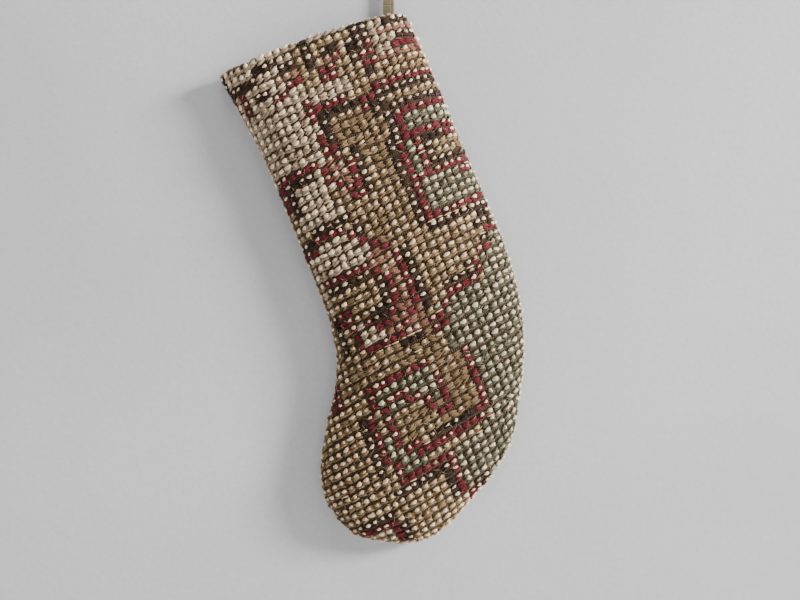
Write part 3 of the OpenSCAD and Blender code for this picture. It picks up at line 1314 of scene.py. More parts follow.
@dataclass
class Rug:
    """The rug front: its woven ground, the wool knots and the nubs between them.

    columns and rows bound the knots that are tried. Down the leg the rows start to climb
    towards the foot at shear_start, and reach the slope shear after shear_run.
    """

    finishes: Finishes
    seed: int = 11
    columns: tuple[int, int] = (-34, 8)
    rows: tuple[int, int] = (-6, 62)
    shear_start: float = 60.0
    shear: float = 0.13
    shear_run: float = 260.0
    shear_centre: float = -60.0
    allowance_inset: float = 1.6
    allowance_w: float = 7.4
    worn_strands: tuple[float, ...] = (-1.45, -0.15, 1.1)
    full_strands: tuple[float, ...] = (-1.5, 0.0, 1.4)
    nub_size: tuple[float, float, float] = (2.5, 1.75, 1.35)
    hair_l: float = 4.6
    hair_r: float = 0.065
    knots: list[bpy.types.Object] = field(default_factory=list)
    ground: bpy.types.Object | None = None
    allowance: bpy.types.Object | None = None

    def build(self) -> None:
        """Models the ground, the seam allowance, the knots and the nubs."""
        self._build_ground()
        self._build_allowance()
        self._build_knots()

    def _flat(self, a: np.ndarray, b: np.ndarray) -> np.ndarray:
        """Lays out the cut rug.

        Args:
            a: Places across the rug, 0 to 1.
            b: Places down the rug, 0 at the end of the turned rim and 1 at the toe.

        Returns:
            Points of the flat rug, with the turned rim above row 0.
        """
        hem = FORM.lap + SIZES.hem_l - SIZES.rim_drop
        past = np.maximum(1.0 - b / HEM_SHARE, 0.0) * hem
        q = np.maximum((b - HEM_SHARE) / (1.0 - HEM_SHARE), 0.0)
        s = OUTLINE.tip * (1.0 - (1.0 - q) ** 1.15)
        return OUTLINE.span(s, a, -FORM.excess) + past[:, None] * FORM.up

    def _build_ground(self) -> None:
        """Models the woven ground as one cloth, turned in at the rim."""
        def shape(a: np.ndarray, b: np.ndarray) -> np.ndarray:
            """Places points of the ground under the pile.

            Args:
                a: Places across the rug, 0 to 1.
                b: Places down the rug, 0 to 1.

            Returns:
                Points in the row frame.
            """
            return HANG.point(FORM.lie(self._flat(a, b), SIZES.pile_t).point)

        self.ground = Bench.grid("rug_front", 72, 132, shape, flat=self._flat,
                                 outwards=(0.0, -1.0, 0.0))
        Bench.thicken(self.ground, SIZES.ground_t, -1.0)

    def _build_allowance(self) -> None:
        """Models the rug's cut edge, turned in behind the side seam."""
        def shape(a: np.ndarray, b: np.ndarray) -> np.ndarray:
            """Lays the strip along the outline.

            Args:
                a: Places across the allowance, 0 at the seam.
                b: Places along the outline, 0 to 1.

            Returns:
                Points in the row frame.
            """
            t = b * OUTLINE.end
            d = self.allowance_inset + a * self.allowance_w
            direction = OUTLINE.along(t)
            inwards = np.stack([direction[:, 1], -direction[:, 0]], axis=1)
            uv = OUTLINE.edge(t) + d[:, None] * inwards
            w = 2.4 + 0.5 * ease((d - self.allowance_inset) / 3.0)
            return HANG.point(np.column_stack([uv, w]))

        def flat(a: np.ndarray, b: np.ndarray) -> np.ndarray:
            """Gives the strip's own coordinates, for the weave.

            Args:
                a: Places across the allowance, 0 to 1.
                b: Places along the outline, 0 to 1.

            Returns:
                The coordinates, in millimetres.
            """
            return np.stack([a * self.allowance_w, b * 960.0], axis=1)

        self.allowance = Bench.grid("rug_seam_allowance", 4, 240, shape, flat=flat,
                                    outwards=(0.0, 1.0, 0.0))
        Bench.thicken(self.allowance, 1.5, 0.0)

    def _cell(self, i: np.ndarray, j: np.ndarray) -> np.ndarray:
        """Finds the centres of knots on the flat rug, where rows climb towards the foot.

        Args:
            i: Columns of the knots.
            j: Rows of the knots.

        Returns:
            Their centres, as (u, v).
        """
        a = (i + 0.5) * SIZES.knot_w
        v = (j + 0.5) * SIZES.knot_h
        lean = self.shear * np.clip((v - self.shear_start) / self.shear_run, 0.0, 1.0)
        return np.stack([a, v - lean * (a - self.shear_centre)], axis=1)

    def _tuft(self, name: str, strands: Sequence[float],
              rng: np.random.Generator) -> bpy.types.Object:
        """Models one knot of pile: short fat strands of wool that lie side by side.

        Args:
            name: Name of the template.
            strands: Where each strand lies up the row.
            rng: Source of the small differences between strands.

        Returns:
            The template.
        """
        parts = []
        for level in strands:
            Bench.clear()
            bpy.ops.mesh.primitive_uv_sphere_add(segments=6, ring_count=4, radius=1.0)
            obj = bpy.context.object
            co = np.array([v.co[:] for v in obj.data.vertices])
            co = co[:, [2, 0, 1]] + rng.normal(0.0, 0.07, co.shape)
            taper = 1.0 - 0.22 * co[:, 0] * rng.choice([-1.0, 1.0])
            x = co[:, 0] * rng.uniform(3.6, 4.3)
            y = co[:, 1] * taper * rng.uniform(0.95, 1.2)
            z = co[:, 2] * taper * rng.uniform(1.1, 1.35) + rng.uniform(0.35, 0.75)
            turn = rng.normal(0.14, 0.16)
            place = np.column_stack([x * cos(turn) - y * sin(turn) + rng.normal(0.0, 0.4),
                                     x * sin(turn) + y * cos(turn) + level, z])
            obj.data.vertices.foreach_set("co", (place * MM).ravel())
            obj.data.update()
            parts.append(obj)
        Bench.clear()
        for obj in parts:
            obj.select_set(True)
        bpy.context.view_layer.objects.active = parts[0]
        bpy.ops.object.join()
        parts[0].name = name
        return parts[0]

    def _nub(self, name: str, rng: np.random.Generator) -> bpy.types.Object:
        """Models one pale nub, a teardrop that is fuller at its right end.

        Args:
            name: Name of the template.
            rng: Source of its uneven skin.

        Returns:
            The template.
        """
        Bench.clear()
        bpy.ops.mesh.primitive_uv_sphere_add(segments=8, ring_count=6, radius=1.0)
        obj = bpy.context.object
        obj.name = name
        co = np.array([v.co[:] for v in obj.data.vertices])
        co = co[:, [2, 0, 1]] + rng.normal(0.0, 0.11, co.shape)
        full = 0.84 + 0.30 * co[:, 0]
        bend = 0.14 * (co[:, 0] ** 2 - 0.4)
        length, width, height = self.nub_size
        x = co[:, 0] * length
        y = (co[:, 1] * full + bend) * width
        z = co[:, 2] * full * height + 0.35 + 0.25 * co[:, 0]
        obj.data.vertices.foreach_set("co", (np.column_stack([x, y, z]) * MM).ravel())
        obj.data.update()
        return obj

    def _build_knots(self) -> None:
        """Ties the knots, lays nubs, wefts and hairs on them, and joins them by wool."""
        rng = np.random.default_rng(self.seed)
        pattern = RugPattern()
        tufts = [self._tuft(f"tuft_{n}", self.worn_strands, rng) for n in range(4)]
        full = [self._tuft(f"full_tuft_{n}", self.full_strands, rng) for n in range(4)]
        nubs = [self._nub(f"nub_{n}", rng) for n in range(6)]
        i, j = (x.ravel() for x in np.meshgrid(np.arange(*self.columns),
                                               np.arange(*self.rows), indexing="ij"))
        flat = self._cell(i, j) + rng.normal(0.0, 0.3, (len(i), 2))
        past = FORM.above_rim(flat)
        margin = FORM.margin(flat)
        inside = (margin > np.where(past > -1.0, 6.5, 2.0)) \
            & (past < FORM.lap + SIZES.hem_l - 2.0)
        inside &= (past < 0.0) | (FORM.lie(flat, SIZES.pile_t).point[:, 2] > 6.0)
        i, j, flat, past, margin = (x[inside] for x in (i, j, flat, past, margin))
        bed = FORM.lie(flat, SIZES.pile_t + 0.25)
        bed.point[:, 2] = np.maximum(bed.point[:, 2], 2.0)
        shrink = np.clip(margin / SIZES.knot_w * 2.0, 0.65, 1.0)[:, None]
        bed.across, bed.down = bed.across * shrink, bed.down * shrink
        wools = {kind: [Copies(t) for t in tufts + full] for kind in Wool}
        pale = {kind: [Copies(t) for t in nubs] for kind in self.finishes.nub}
        for k in range(len(i)):
            wool = pattern.wool(int(i[k]), int(j[k]))
            self._lay_knot(rng, wool, pattern.covered(int(i[k]), int(j[k])), past[k],
                           bed, k, wools, pale)
        self._lay_wefts(rng, flat, i, j, pale)
        self._lay_fibres(rng, flat)
        for kind in Wool:
            self._keep(gather(f"knots_{kind.value}", wools[kind]), self.finishes.wool[kind])
        for kind, copies in pale.items():
            self._keep(gather(f"nubs_{kind.value}", copies), self.finishes.nub[kind])
        Bench.remove(tufts + full + nubs)

    def _keep(self, obj: bpy.types.Object | None, material: bpy.types.Material) -> None:
        """Gives a piece of the pile its finish and keeps it for dressing.

        Args:
            obj: A finished piece of the pile, or None where there is none.
            material: Its finish.
        """
        if obj is not None:
            obj.data.materials.append(material)
            self.knots.append(obj)

    @staticmethod
    def _axes(bed: Lie, k: int, turn: float, size: Sequence[float]) -> np.ndarray:
        """Turns and sizes one knot on the cloth.

        Args:
            bed: Where the knots lie.
            k: Number of the knot.
            turn: How far it is turned on the cloth.
            size: Its sizes across, down and off the cloth.

        Returns:
            Its three directions in the row frame, as long as it is sized.
        """
        across, down = bed.across[k], bed.down[k]
        x = cos(turn) * across - sin(turn) * down
        y = -sin(turn) * across - cos(turn) * down
        rows = np.array([x * size[0], y * size[1], bed.normal[k] * size[2]])
        return HANG.direction(rows)

    def _lay_knot(self, rng: np.random.Generator, wool: Wool, covered: bool, past: float,
                  bed: Lie, k: int, wools: dict[Wool, list[Copies]],
                  pale: dict[Wool, list[Copies]]) -> None:
        """Ties one knot, and lays its nub on it where the wool is worn.

        Args:
            rng: Source of the differences between knots.
            wool: The knot's wool.
            covered: Whether the wool there is less worn.
            past: How far the knot lies past the start of the turned rim.
            bed: Where the knots lie.
            k: Number of the knot.
            wools: Copies of the tufts, by wool.
            pale: Copies of the nubs, by tone.
        """
        wear = WEAR[wool]
        own = float(rng.uniform())
        low = 0.78 if past > FORM.lap else 1.0
        bare = rng.uniform() > wear.nubs * (0.5 if covered else 1.0)
        high = low * (1.2 if bare else 1.0)
        size = rng.normal(1.0, 0.07, 3) * np.array([1.0, wear.fill, high])
        axes = self._axes(bed, k, rng.normal(0.05, 0.10), size)
        copies = wools[wool][int(rng.integers(4)) + (4 if bare else 0)]
        copies.add(HANG.point(bed.point[k]), axes, own)
        if bare:
            return
        full = wear.nub_size * (0.8 if covered else 1.0)
        size = rng.normal(1.0, 0.16, 3) * full * np.array([0.96, 1.0, low])
        axes = self._axes(bed, k, rng.normal(0.20, 0.17), size)
        offset = (bed.across[k] * rng.normal(0.3, 0.2) - bed.down[k] * rng.normal(0.9, 0.2)
                  + bed.normal[k] * (1.35 + rng.uniform(-0.45, 0.25)) * low)
        tone = wool if wool in pale else Wool.CREAM
        if tone is not Wool.CREAM and rng.uniform() < 0.22:
            tone = Wool.CREAM
        pale[tone][int(rng.integers(6))].add(HANG.point(bed.point[k] + offset), axes,
                                             float(rng.uniform()))

    def _lay_wefts(self, rng: np.random.Generator, flat: np.ndarray, i: np.ndarray,
                   j: np.ndarray, pale: dict[Wool, list[Copies]]) -> None:
        """Lays short lengths of pale weft that show between rows where the pile is thin.

        Args:
            rng: Source of the places that are worn by chance.
            flat: Centres of the knots on the flat rug.
            i: Columns of the knots.
            j: Rows of the knots.
            pale: Copies of the nubs, by tone.
        """
        worn = ((j == 35) & (i > -17) & (i < -10)) | ((j == 24) & (i > -6) & (i < 0)) \
            | (rng.uniform(size=len(i)) < 0.012)
        spots = flat[worn] + np.array([0.0, SIZES.knot_h * 0.5])
        if not len(spots):
            return
        bed = FORM.lie(spots, 0.75)
        for k in range(len(spots)):
            axes = self._axes(bed, k, rng.normal(0.03, 0.05), (1.25, 0.36, 0.5))
            pale[Wool.CAMEL][k % 4].add(HANG.point(bed.point[k]), axes, float(rng.uniform()))

    def _lay_fibres(self, rng: np.random.Generator, flat: np.ndarray) -> None:
        """Lays fine hairs of wool that have worked loose all over the pile.

        Args:
            rng: Source of the hairs' places and bends.
            flat: Centres of the knots on the flat rug.
        """
        hairs = []
        for n in range(3):
            bend, wave = rng.uniform(0.3, 0.9), rng.uniform(0.0, 6.0)

            def ring(a: np.ndarray, b: np.ndarray) -> np.ndarray:
                """Bends one hair.

                Args:
                    a: Turn round the hair, 0 to 1.
                    b: Place along it, 0 to 1.

                Returns:
                    Points of its skin, about its own middle.
                """
                angle = a * 2.0 * pi
                full = np.where((b < 0.01) | (b > 0.99), 0.0, self.hair_r)
                x = (b - 0.5) * self.hair_l
                y = bend * np.sin(b * 4.0 + wave) + full * np.cos(angle)
                z = 0.9 * np.sin(b * pi) + full * np.sin(angle)
                return np.column_stack([x, y, z]) * MM

            hairs.append(Bench.tube(f"hair_{n}", 3, 6, ring))
        spots = flat + rng.uniform(-3.2, 3.2, flat.shape)
        spots = spots[(FORM.margin(spots) > 8.0) & (FORM.above_rim(spots) < FORM.lap)]
        bed = FORM.lie(spots, 0.5)
        tones = {kind: [Copies(h) for h in hairs] for kind in (Wool.CREAM, Wool.CAMEL)}
        for k in range(len(spots)):
            kind = Wool.CREAM if rng.uniform() < 0.6 else Wool.CAMEL
            axes = self._axes(bed, k, rng.uniform(0.0, pi), rng.normal(1.0, 0.2, 3))
            place = bed.point[k] + bed.normal[k] * rng.uniform(-0.3, 0.5)
            tones[kind][int(rng.integers(3))].add(HANG.point(place), axes,
                                                  float(rng.uniform()))
        for kind, copies in tones.items():
            self._keep(gather(f"fibres_{kind.value}", copies), self.finishes.nub[kind])
        Bench.remove(hairs)

    def dress(self) -> None:
        self.ground.data.materials.append(self.finishes.ground)
        self.allowance.data.materials.append(self.finishes.ground)
        for obj in (self.ground, self.allowance, *self.knots):
            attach(obj, "stocking")
        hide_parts("rug_ground")
        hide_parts("rug_pile")
        edge = self._flat(np.concatenate([np.linspace(0, 0, 60), np.linspace(0, 1, 20),
                                          np.ones(60), np.linspace(1, 0, 20)]),
                          np.concatenate([np.linspace(0, 1, 60), np.ones(20),
                                          np.linspace(1, 0, 60), np.zeros(20)]))


def dress_cloth(obj: bpy.types.Object, material: bpy.types.Material, node: str,
                flat: Shape) -> None:
    """Gives a cloth its finish and its body.

    Args:
        obj: The cloth.
        material: Its finish.
        node: CAD node that it stands for.
        flat: Gives the cloth's own coordinates, in millimetres.
    """
    obj.data.materials.append(material)
    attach(obj, "stocking")
    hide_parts(node)
    n = 60
    edge = flat(np.concatenate([np.zeros(n), np.ones(n)]),
                np.concatenate([np.linspace(0, 1, n), np.linspace(1, 0, n)]))


# ---------------------------------------------------------------- back and lining


@dataclass
class FlatCloth:
    """A flat cloth inside the outline, such as the back or the back lining.

    inset is how far it stays inside the outline, and taper how much further at its first row;
    level is its height off the wall, and curl how high its edge puckers at the seam.
    """

    name: str
    node: str
    slot: str
    material: bpy.types.Material
    inset: float
    level: float
    thickness: float
    first_row: float
    last_row: float
    hem: float = 0.0
    curl: float = 0.0
    taper: float = 0.0
    fold_r: float = 0.62
    obj: bpy.types.Object | None = None

    def _flat(self, a: np.ndarray, b: np.ndarray) -> np.ndarray:
        """Lays out the cut cloth.

        Args:
            a: Places across the cloth, 0 to 1.
            b: Places down the cloth, 0 at the end of its hem and 1 at the toe.

        Returns:
            Points of the flat cloth, as (u, v).
        """
        share = HEM_SHARE if self.hem else 0.0
        past = np.maximum(1.0 - b / share, 0.0) * self.hem if self.hem else np.zeros(len(b))
        q = np.maximum((b - share) / (1.0 - share), 0.0)
        s = self.first_row + (self.last_row - self.first_row) * q
        inset = self.inset + self.taper * (1.0 - ease((s - self.first_row) / 0.8))
        return OUTLINE.span(s, a, inset) + past[:, None] * FORM.up

    def build(self) -> None:
        """Models the cloth, with a narrow hem folded over to the inside."""
        turn = self.fold_r

        def shape(a: np.ndarray, b: np.ndarray) -> np.ndarray:
            """Folds the hem over and puckers the seam edge.

            Args:
                a: Places across the cloth, 0 to 1.
                b: Places down the cloth, 0 to 1.

            Returns:
                Points in the row frame.
            """
            flat = self._flat(a, b)
            past = np.maximum(1.0 - b / HEM_SHARE, 0.0) * self.hem
            angle = np.minimum(past / (pi * turn), 1.0) * pi
            straight = np.maximum(past - pi * turn, 0.0)
            foot = flat - past[:, None] * FORM.up
            rise = turn * np.sin(angle) - straight
            uv = foot + rise[:, None] * FORM.up
            d, _ = OUTLINE.signed(foot)
            edge = 1.0 - ease((d - self.inset) / 5.0)
            pucker = self.curl * edge * (0.5 + 0.22 * np.sin(foot[:, 1] * 2 * pi / 12.0))
            w = self.level + turn * (1.0 - np.cos(angle)) + pucker * (past < CLOSE)
            return HANG.point(np.column_stack([uv, w]))

        self.obj = Bench.grid(self.name, 60, 150, shape, flat=self._flat,
                              outwards=(0.0, 1.0, 0.0))
        Bench.thicken(self.obj, self.thickness, 0.0)

    def dress(self) -> None:
        dress_cloth(self.obj, self.material, self.node, self._flat)


@dataclass
class FrontLining:
    """The lining behind the rug front, a loose dome of thin cotton."""

    material: bpy.types.Material
    depth: float = 6.9
    first_row: float = 0.86
    inset: float = 5.0
    lowest: float = 4.7
    obj: bpy.types.Object | None = None

    def _flat(self, a: np.ndarray, b: np.ndarray) -> np.ndarray:
        """Lays out the cut lining.

        Args:
            a: Places across the lining, 0 to 1.
            b: Places down the lining, 0 to 1.

        Returns:
            Points of the flat lining, as (u, v).
        """
        s = self.first_row + (OUTLINE.tip - 0.1 - self.first_row) * b
        return OUTLINE.span(s, a, -FORM.excess + self.inset)

    def build(self) -> None:
        """Models the lining a little inside the rug, resting on the seam allowance."""
        def shape(a: np.ndarray, b: np.ndarray) -> np.ndarray:
            """Lays the lining inside the rug.

            Args:
                a: Places across the lining, 0 to 1.
                b: Places down the lining, 0 to 1.

            Returns:
                Points in the row frame.
            """
            laid = FORM.lie(self._flat(a, b), self.depth).point
            wave = 0.35 * np.sin(laid[:, 1] / 7.0 + laid[:, 0] / 23.0)
            laid[:, 2] = np.maximum(laid[:, 2] - 0.4 + wave, self.lowest)
            return HANG.point(laid)

        self.obj = Bench.grid("lining_front_cloth", 48, 100, shape, flat=self._flat,
                              outwards=(0.0, -1.0, 0.0))
        Bench.thicken(self.obj, 0.7, -1.0)

    def dress(self) -> None:
        dress_cloth(self.obj, self.material, "lining_front", self._flat)


# ---------------------------------------------------------------- threads


# Where each stitch goes, which way it runs and which way is up from the cloth
Places = list[tuple[np.ndarray, np.ndarray, np.ndarray]]


@dataclass
class Stitching:
    """Every row of stitches, copied from one bowed stitch of twisted thread.

    hem_count is the stitches across a mouth hem, back_row the row of the back's hem, and
    side_inset and lining_inset how far the two seams lie inside the outline.
    """

    finishes: Finishes
    seed: int = 5
    hem_count: int = 20
    back_row: float = 0.66
    side_inset: float = 1.3
    lining_inset: float = 7.6
    rows: dict[str, bpy.types.Object] = field(default_factory=dict)

    def _template(self) -> bpy.types.Object:
        """Models one stitch along X, with the ends dipping into the cloth.

        Returns:
            The template.
        """
        def ring(a: np.ndarray, b: np.ndarray) -> np.ndarray:
            """Bows and twists the thread.

            Args:
                a: Turn round the stitch, 0 to 1.
                b: Place along it, 0 to 1.

            Returns:
                Points of its skin, about its own middle.
            """
            x = (b - 0.5) * SIZES.stitch_l
            full = np.clip(4.0 * b * (1.0 - b), 0.0, 1.0) ** 0.3
            twist = 1.0 + 0.10 * np.sin(2.0 * (a * 2 * pi) + b * 9.0)
            r = SIZES.thread_d / 2.0 * full * twist
            bow = 0.45 * (1.0 - (2.0 * b - 1.0) ** 2)
            angle = a * 2.0 * pi
            return np.column_stack([x, r * np.cos(angle), bow + r * np.sin(angle)]) * MM

        return Bench.tube("stitch", 6, 7, ring)

    def build(self) -> None:
        """Sews the side seam, both mouth hems, the lining seam and the loop's tacks."""
        rng = np.random.default_rng(self.seed)
        template = self._template()
        plans = {
            "side_seam_thread": self._side_seam(rng),
            "mouth_hem_thread_front": self._front_hem(rng),
            "mouth_hem_thread_back": self._back_hem(rng),
            "lining_seam_thread": self._lining_seam(rng),
            "loop_tack_thread": self._tacks(rng),
        }
        for name, places in plans.items():
            copies = Copies(template)
            for place, along, up in places:
                x = unit(along)
                z = unit(up - x * float(up @ x))
                copies.add(place, np.array([x, np.cross(z, x), z]), float(rng.uniform()))
            self.rows[name] = gather(f"{name}_stitches", [copies])
        Bench.remove([template])

    def _ring_places(self, inset: float, level: float, pitch: float, first: float,
                     last: float) -> list[tuple[float, np.ndarray]]:
        """Steps evenly along the outline, from one side of the rim to the other.

        Args:
            inset: How far inside the outline the row runs.
            level: Height of the row off the wall.
            pitch: From one stitch to the next.
            first: Place on the outline where the row starts.
            last: How much of the outline is left free on both sides of the toe's tip.

        Returns:
            Each place along the outline, with its point in the layout.
        """
        t = np.linspace(first, OUTLINE.end - first, 2000)
        line = OUTLINE.inset(t, inset)
        run = np.concatenate([[0.0], np.cumsum(np.linalg.norm(np.diff(line, axis=0), axis=1))])
        count = int(run[-1] / pitch)
        at = np.interp((np.arange(count) + 0.5) * run[-1] / count, run, t)
        at = at[np.abs(at - OUTLINE.tip) >= last]
        return [(float(k), np.array([*OUTLINE.inset(k, inset), level])) for k in at]

    def _side_seam(self, rng: np.random.Generator) -> Places:
        """Places the side seam.

        Args:
            rng: Source of the small differences in slant.

        Returns:
            The slanted stitches that join front and back round the outline.
        """
        places = []
        for t, point in self._ring_places(self.side_inset, 1.5, SIZES.stitch_pitch * 0.8,
                                          0.04, 0.0):
            d = OUTLINE.along(t)
            along = np.array([d[0], d[1], 0.55 + rng.normal(0.0, 0.06)])
            out = np.array([-d[1], d[0], 0.0])
            places.append((HANG.point(point), HANG.direction(along), HANG.direction(out)))
        return places

    def _front_hem(self, rng: np.random.Generator) -> Places:
        """Places the hem of the rug's rim.

        Args:
            rng: Source of the small differences in slant.

        Returns:
            The stitches that hold the rug's turned rim inside the mouth.
        """
        ends = OUTLINE.span(np.zeros(2), np.array([0.0, 1.0]), -FORM.excess + 9.0)
        count = self.hem_count
        share = (np.arange(count) + 0.5) / count
        flat = ends[0] * (1.0 - share[:, None]) + ends[1] * share[:, None]
        flat = flat + (FORM.lap + SIZES.hem_l - SIZES.rim_drop - 4.0) * FORM.up
        laid = FORM.lie(flat, 0.1)
        return [(HANG.point(laid.point[k]),
                 HANG.direction(laid.across[k] + 0.12 * rng.normal() * laid.down[k]),
                 HANG.direction(laid.normal[k])) for k in range(count)]

    def _back_hem(self, rng: np.random.Generator) -> Places:
        """Places the hem of the back.

        Args:
            rng: Source of the small differences in slant.

        Returns:
            The stitches of the back's hem, which stop short of the tape.
        """
        ends = OUTLINE.span(np.full(2, self.back_row), np.array([0.0, 1.0]), 11.0)
        places = []
        for k in range(self.hem_count - 2):
            uv = ends[0] + (ends[1] - ends[0]) * (k + 0.5) / self.hem_count
            along = np.array([*(ends[1] - ends[0]), 0.0])
            along[1] += rng.normal(0.0, 6.0)
            places.append((HANG.point([*uv, 2.35]), HANG.direction(along),
                           HANG.direction([0.0, 0.0, 1.0])))
        return places

    def _lining_seam(self, rng: np.random.Generator) -> Places:
        """Places the lining's seam.

        Args:
            rng: Source of the small differences in slant.

        Returns:
            The stitches that join the two halves of the lining.
        """
        places = []
        for t, point in self._ring_places(self.lining_inset, 5.0, SIZES.stitch_pitch, 1.1, 0.5):
            d = OUTLINE.along(t)
            places.append((HANG.point(point),
                           HANG.direction([d[0], d[1], rng.normal(0.0, 0.03)]),
                           HANG.direction([0.0, 0.0, 1.0])))
        return places

    def _tacks(self, rng: np.random.Generator) -> Places:
        """Places the bar tacks.

        Args:
            rng: Source of the small differences in slant.

        Returns:
            Two short bars of stitches across the tape's sewn ends.
        """
        front = SIZES.wall_y - 2.0 * SIZES.cloth_t - 2.0 * SIZES.tape_t - 0.1
        places = []
        for low in (8.0, SIZES.tail_l - 5.0):
            for k in range(4):
                point = np.array([-SIZES.tape_step / 2.0, front - 0.05,
                                  -SIZES.loop_h - low - 0.9 * k])
                places.append((point * MM, np.array([1.0, 0.0, rng.normal(0.0, 0.08)]),
                               np.array([0.0, -1.0, 0.0])))
        return places

    def dress(self) -> None:
        """Gives the finishes and rides the bodies."""
        for node, obj in self.rows.items():
            inner = node == "lining_seam_thread"
            obj.data.materials.append(self.finishes.lining_thread if inner
                                      else self.finishes.thread)
            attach(obj, "stocking")
            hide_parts(node)


# ---------------------------------------------------------------- tape loop


# Points of a route along the tape: its middle, its width's way and its thickness's way
Route = list[tuple[np.ndarray, np.ndarray, np.ndarray]]


@dataclass
class Loop:
    """The twill tape: a bow for the hook, and two ends sewn inside the mouth.

    join_z is where the two pieces meet between the bends, gap the air between the tape's two
    layers, and leg_foot where the legs start to turn towards the bow.
    """

    finishes: Finishes
    join_z: float = -47.3
    gap: float = 0.05
    leg_foot: float = -40.5
    leg_points: int = 34
    bow: bpy.types.Object | None = None
    tail: bpy.types.Object | None = None

    def _middle_y(self) -> float:
        """Returns the place along Y where the two layers of the tape meet."""
        return SIZES.wall_y - 2.0 * SIZES.cloth_t - SIZES.tape_t - self.gap

    def _route(self, side: int, z0: float, z1: float, count: int) -> Route:
        """Lays one straight end of the tape, flat to the wall.

        Args:
            side: -1 for the front layer, 1 for the back one.
            z0: Height where it starts.
            z1: Height where it ends.
            count: Points along it.

        Returns:
            The route.
        """
        y = self._middle_y() + side * (SIZES.tape_t / 2.0 + self.gap)
        x = side * SIZES.tape_step / 2.0
        return [(np.array([x, y, z]), np.array([1.0, 0.0, 0.0]),
                 np.array([0.0, -float(side), 0.0])) for z in np.linspace(z0, z1, count)]

    def _leg(self, side: int) -> Route:
        """Lays the part of a leg that turns square to the wall on its way to the bow.

        Args:
            side: -1 for the leg that starts as the front layer, 1 for the back one.

        Returns:
            The route, upwards.
        """
        foot = self.leg_foot
        head = -SIZES.peg_d / 2.0
        y0 = self._middle_y()
        bow_r = (SIZES.peg_d + SIZES.tape_t) / 2.0
        made = []
        for q in np.linspace(0.0, 1.0, self.leg_points):
            e = float(ease(np.array(q)))
            turn = 0.5 * pi * e
            r = (SIZES.tape_t / 2.0 + self.gap) * (1.0 - e) + bow_r * e
            out = np.array([sin(turn), cos(turn), 0.0])
            centre = np.array([side * (r * out[0] + SIZES.tape_step / 2.0 * (1.0 - e)),
                               y0 * (1.0 - e) + side * r * out[1],
                               foot + q * (head - foot)])
            made.append((centre, np.array([cos(turn), -sin(turn), 0.0]), -side * out))
        return made

    def _bow(self, count: int) -> Route:
        """Lays the tape over the peg.

        Args:
            count: Points along the bow.

        Returns:
            The route of the tape over the peg.
        """
        bow_r = (SIZES.peg_d + SIZES.tape_t) / 2.0
        made = []
        for a in np.radians(np.linspace(172.0, 8.0, count)):
            out = np.array([cos(a), 0.0, sin(a)])
            made.append((np.array([0.0, 0.0, -SIZES.peg_d / 2.0]) + bow_r * out,
                         np.array([0.0, -1.0, 0.0]), -out))
        return made

    @staticmethod
    def _ribbon(name: str, route: Route) -> bpy.types.Object:
        """Sweeps the tape's section, with its rounded selvedges, along a route.

        Args:
            name: Name of the piece.
            route: The route.

        Returns:
            The new object.
        """
        centres = np.array([r[0] for r in route])
        widths = unit(np.array([r[1] for r in route]))
        thicks = unit(np.array([r[2] for r in route]))
        run = np.concatenate([[0.0], np.cumsum(np.linalg.norm(np.diff(centres, axis=0),
                                                              axis=1))])
        last = len(route) - 1

        def ring(a: np.ndarray, b: np.ndarray) -> np.ndarray:
            """Sweeps the section.

            Args:
                a: Turn round the section, 0 to 1.
                b: Place along the route, 0 to 1.

            Returns:
                Points of the tape in the row frame.
            """
            row = np.clip(np.rint(b * (last + 2)).astype(int) - 1, 0, last)
            cap = (b * (last + 2) < 0.5) | (b * (last + 2) > last + 1.5)
            angle = a * 2.0 * pi
            across = np.sign(np.cos(angle)) * np.abs(np.cos(angle)) ** 0.45
            through = np.sign(np.sin(angle)) * np.abs(np.sin(angle)) ** 0.45
            full = np.where(cap, 0.0, 1.0)
            selvedge = 1.0 + 0.10 * np.exp(-((np.abs(across) - 0.86) / 0.10) ** 2)
            point = (centres[row]
                     + (across * full * SIZES.tape_w / 2.0)[:, None] * widths[row]
                     + (through * full * selvedge * SIZES.tape_t / 2.0 * 0.92)[:, None]
                     * thicks[row])
            return point * MM

        def flat(a: np.ndarray, b: np.ndarray) -> np.ndarray:
            """Gives the tape's own coordinates, for the weave.

            Args:
                a: Turn round the section, 0 to 1.
                b: Place along the route, 0 to 1.

            Returns:
                The coordinates, in millimetres.
            """
            row = np.clip(b * (last + 2) - 1.0, 0.0, last)
            angle = a * 2.0 * pi
            across = np.sign(np.cos(angle)) * np.abs(np.cos(angle)) ** 0.45
            return np.stack([across * SIZES.tape_w / 2.0,
                             np.interp(row, np.arange(last + 1), run)], axis=1)

        return Bench.grid(name, 20, last + 2, ring, flat=flat, closed=True)

    def build(self) -> None:
        """Models the bow with both legs, and the two sewn ends."""
        turn_z = self.leg_foot - 0.5
        front = self._route(-1, self.join_z, turn_z, 7) + self._leg(-1)
        back = self._leg(1)[::-1] + self._route(1, turn_z, self.join_z, 7)
        self.bow = self._ribbon("tape_loop", front + self._bow(23) + back)
        low = -SIZES.loop_h - SIZES.tail_l
        ends = [self._ribbon(f"tape_end_{n}",
                             self._route(side, self.join_z, low, self.leg_points))
                for n, side in enumerate((-1, 1))]
        Bench.pick(ends[0])
        ends[1].select_set(True)
        bpy.ops.object.join()
        self.tail = bpy.context.object
        self.tail.name = "tape_ends"

    def dress(self) -> None:
        """Gives the finish, and bakes the tape's placement into its meshes."""
        for obj in (self.bow, self.tail):
            obj.data.materials.append(self.finishes.tape)
        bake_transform(self.bow)
        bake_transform(self.tail)
        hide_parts("hanging_loop", "loop_neck")
        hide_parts("loop_tail")


# ---------------------------------------------------------------- stage


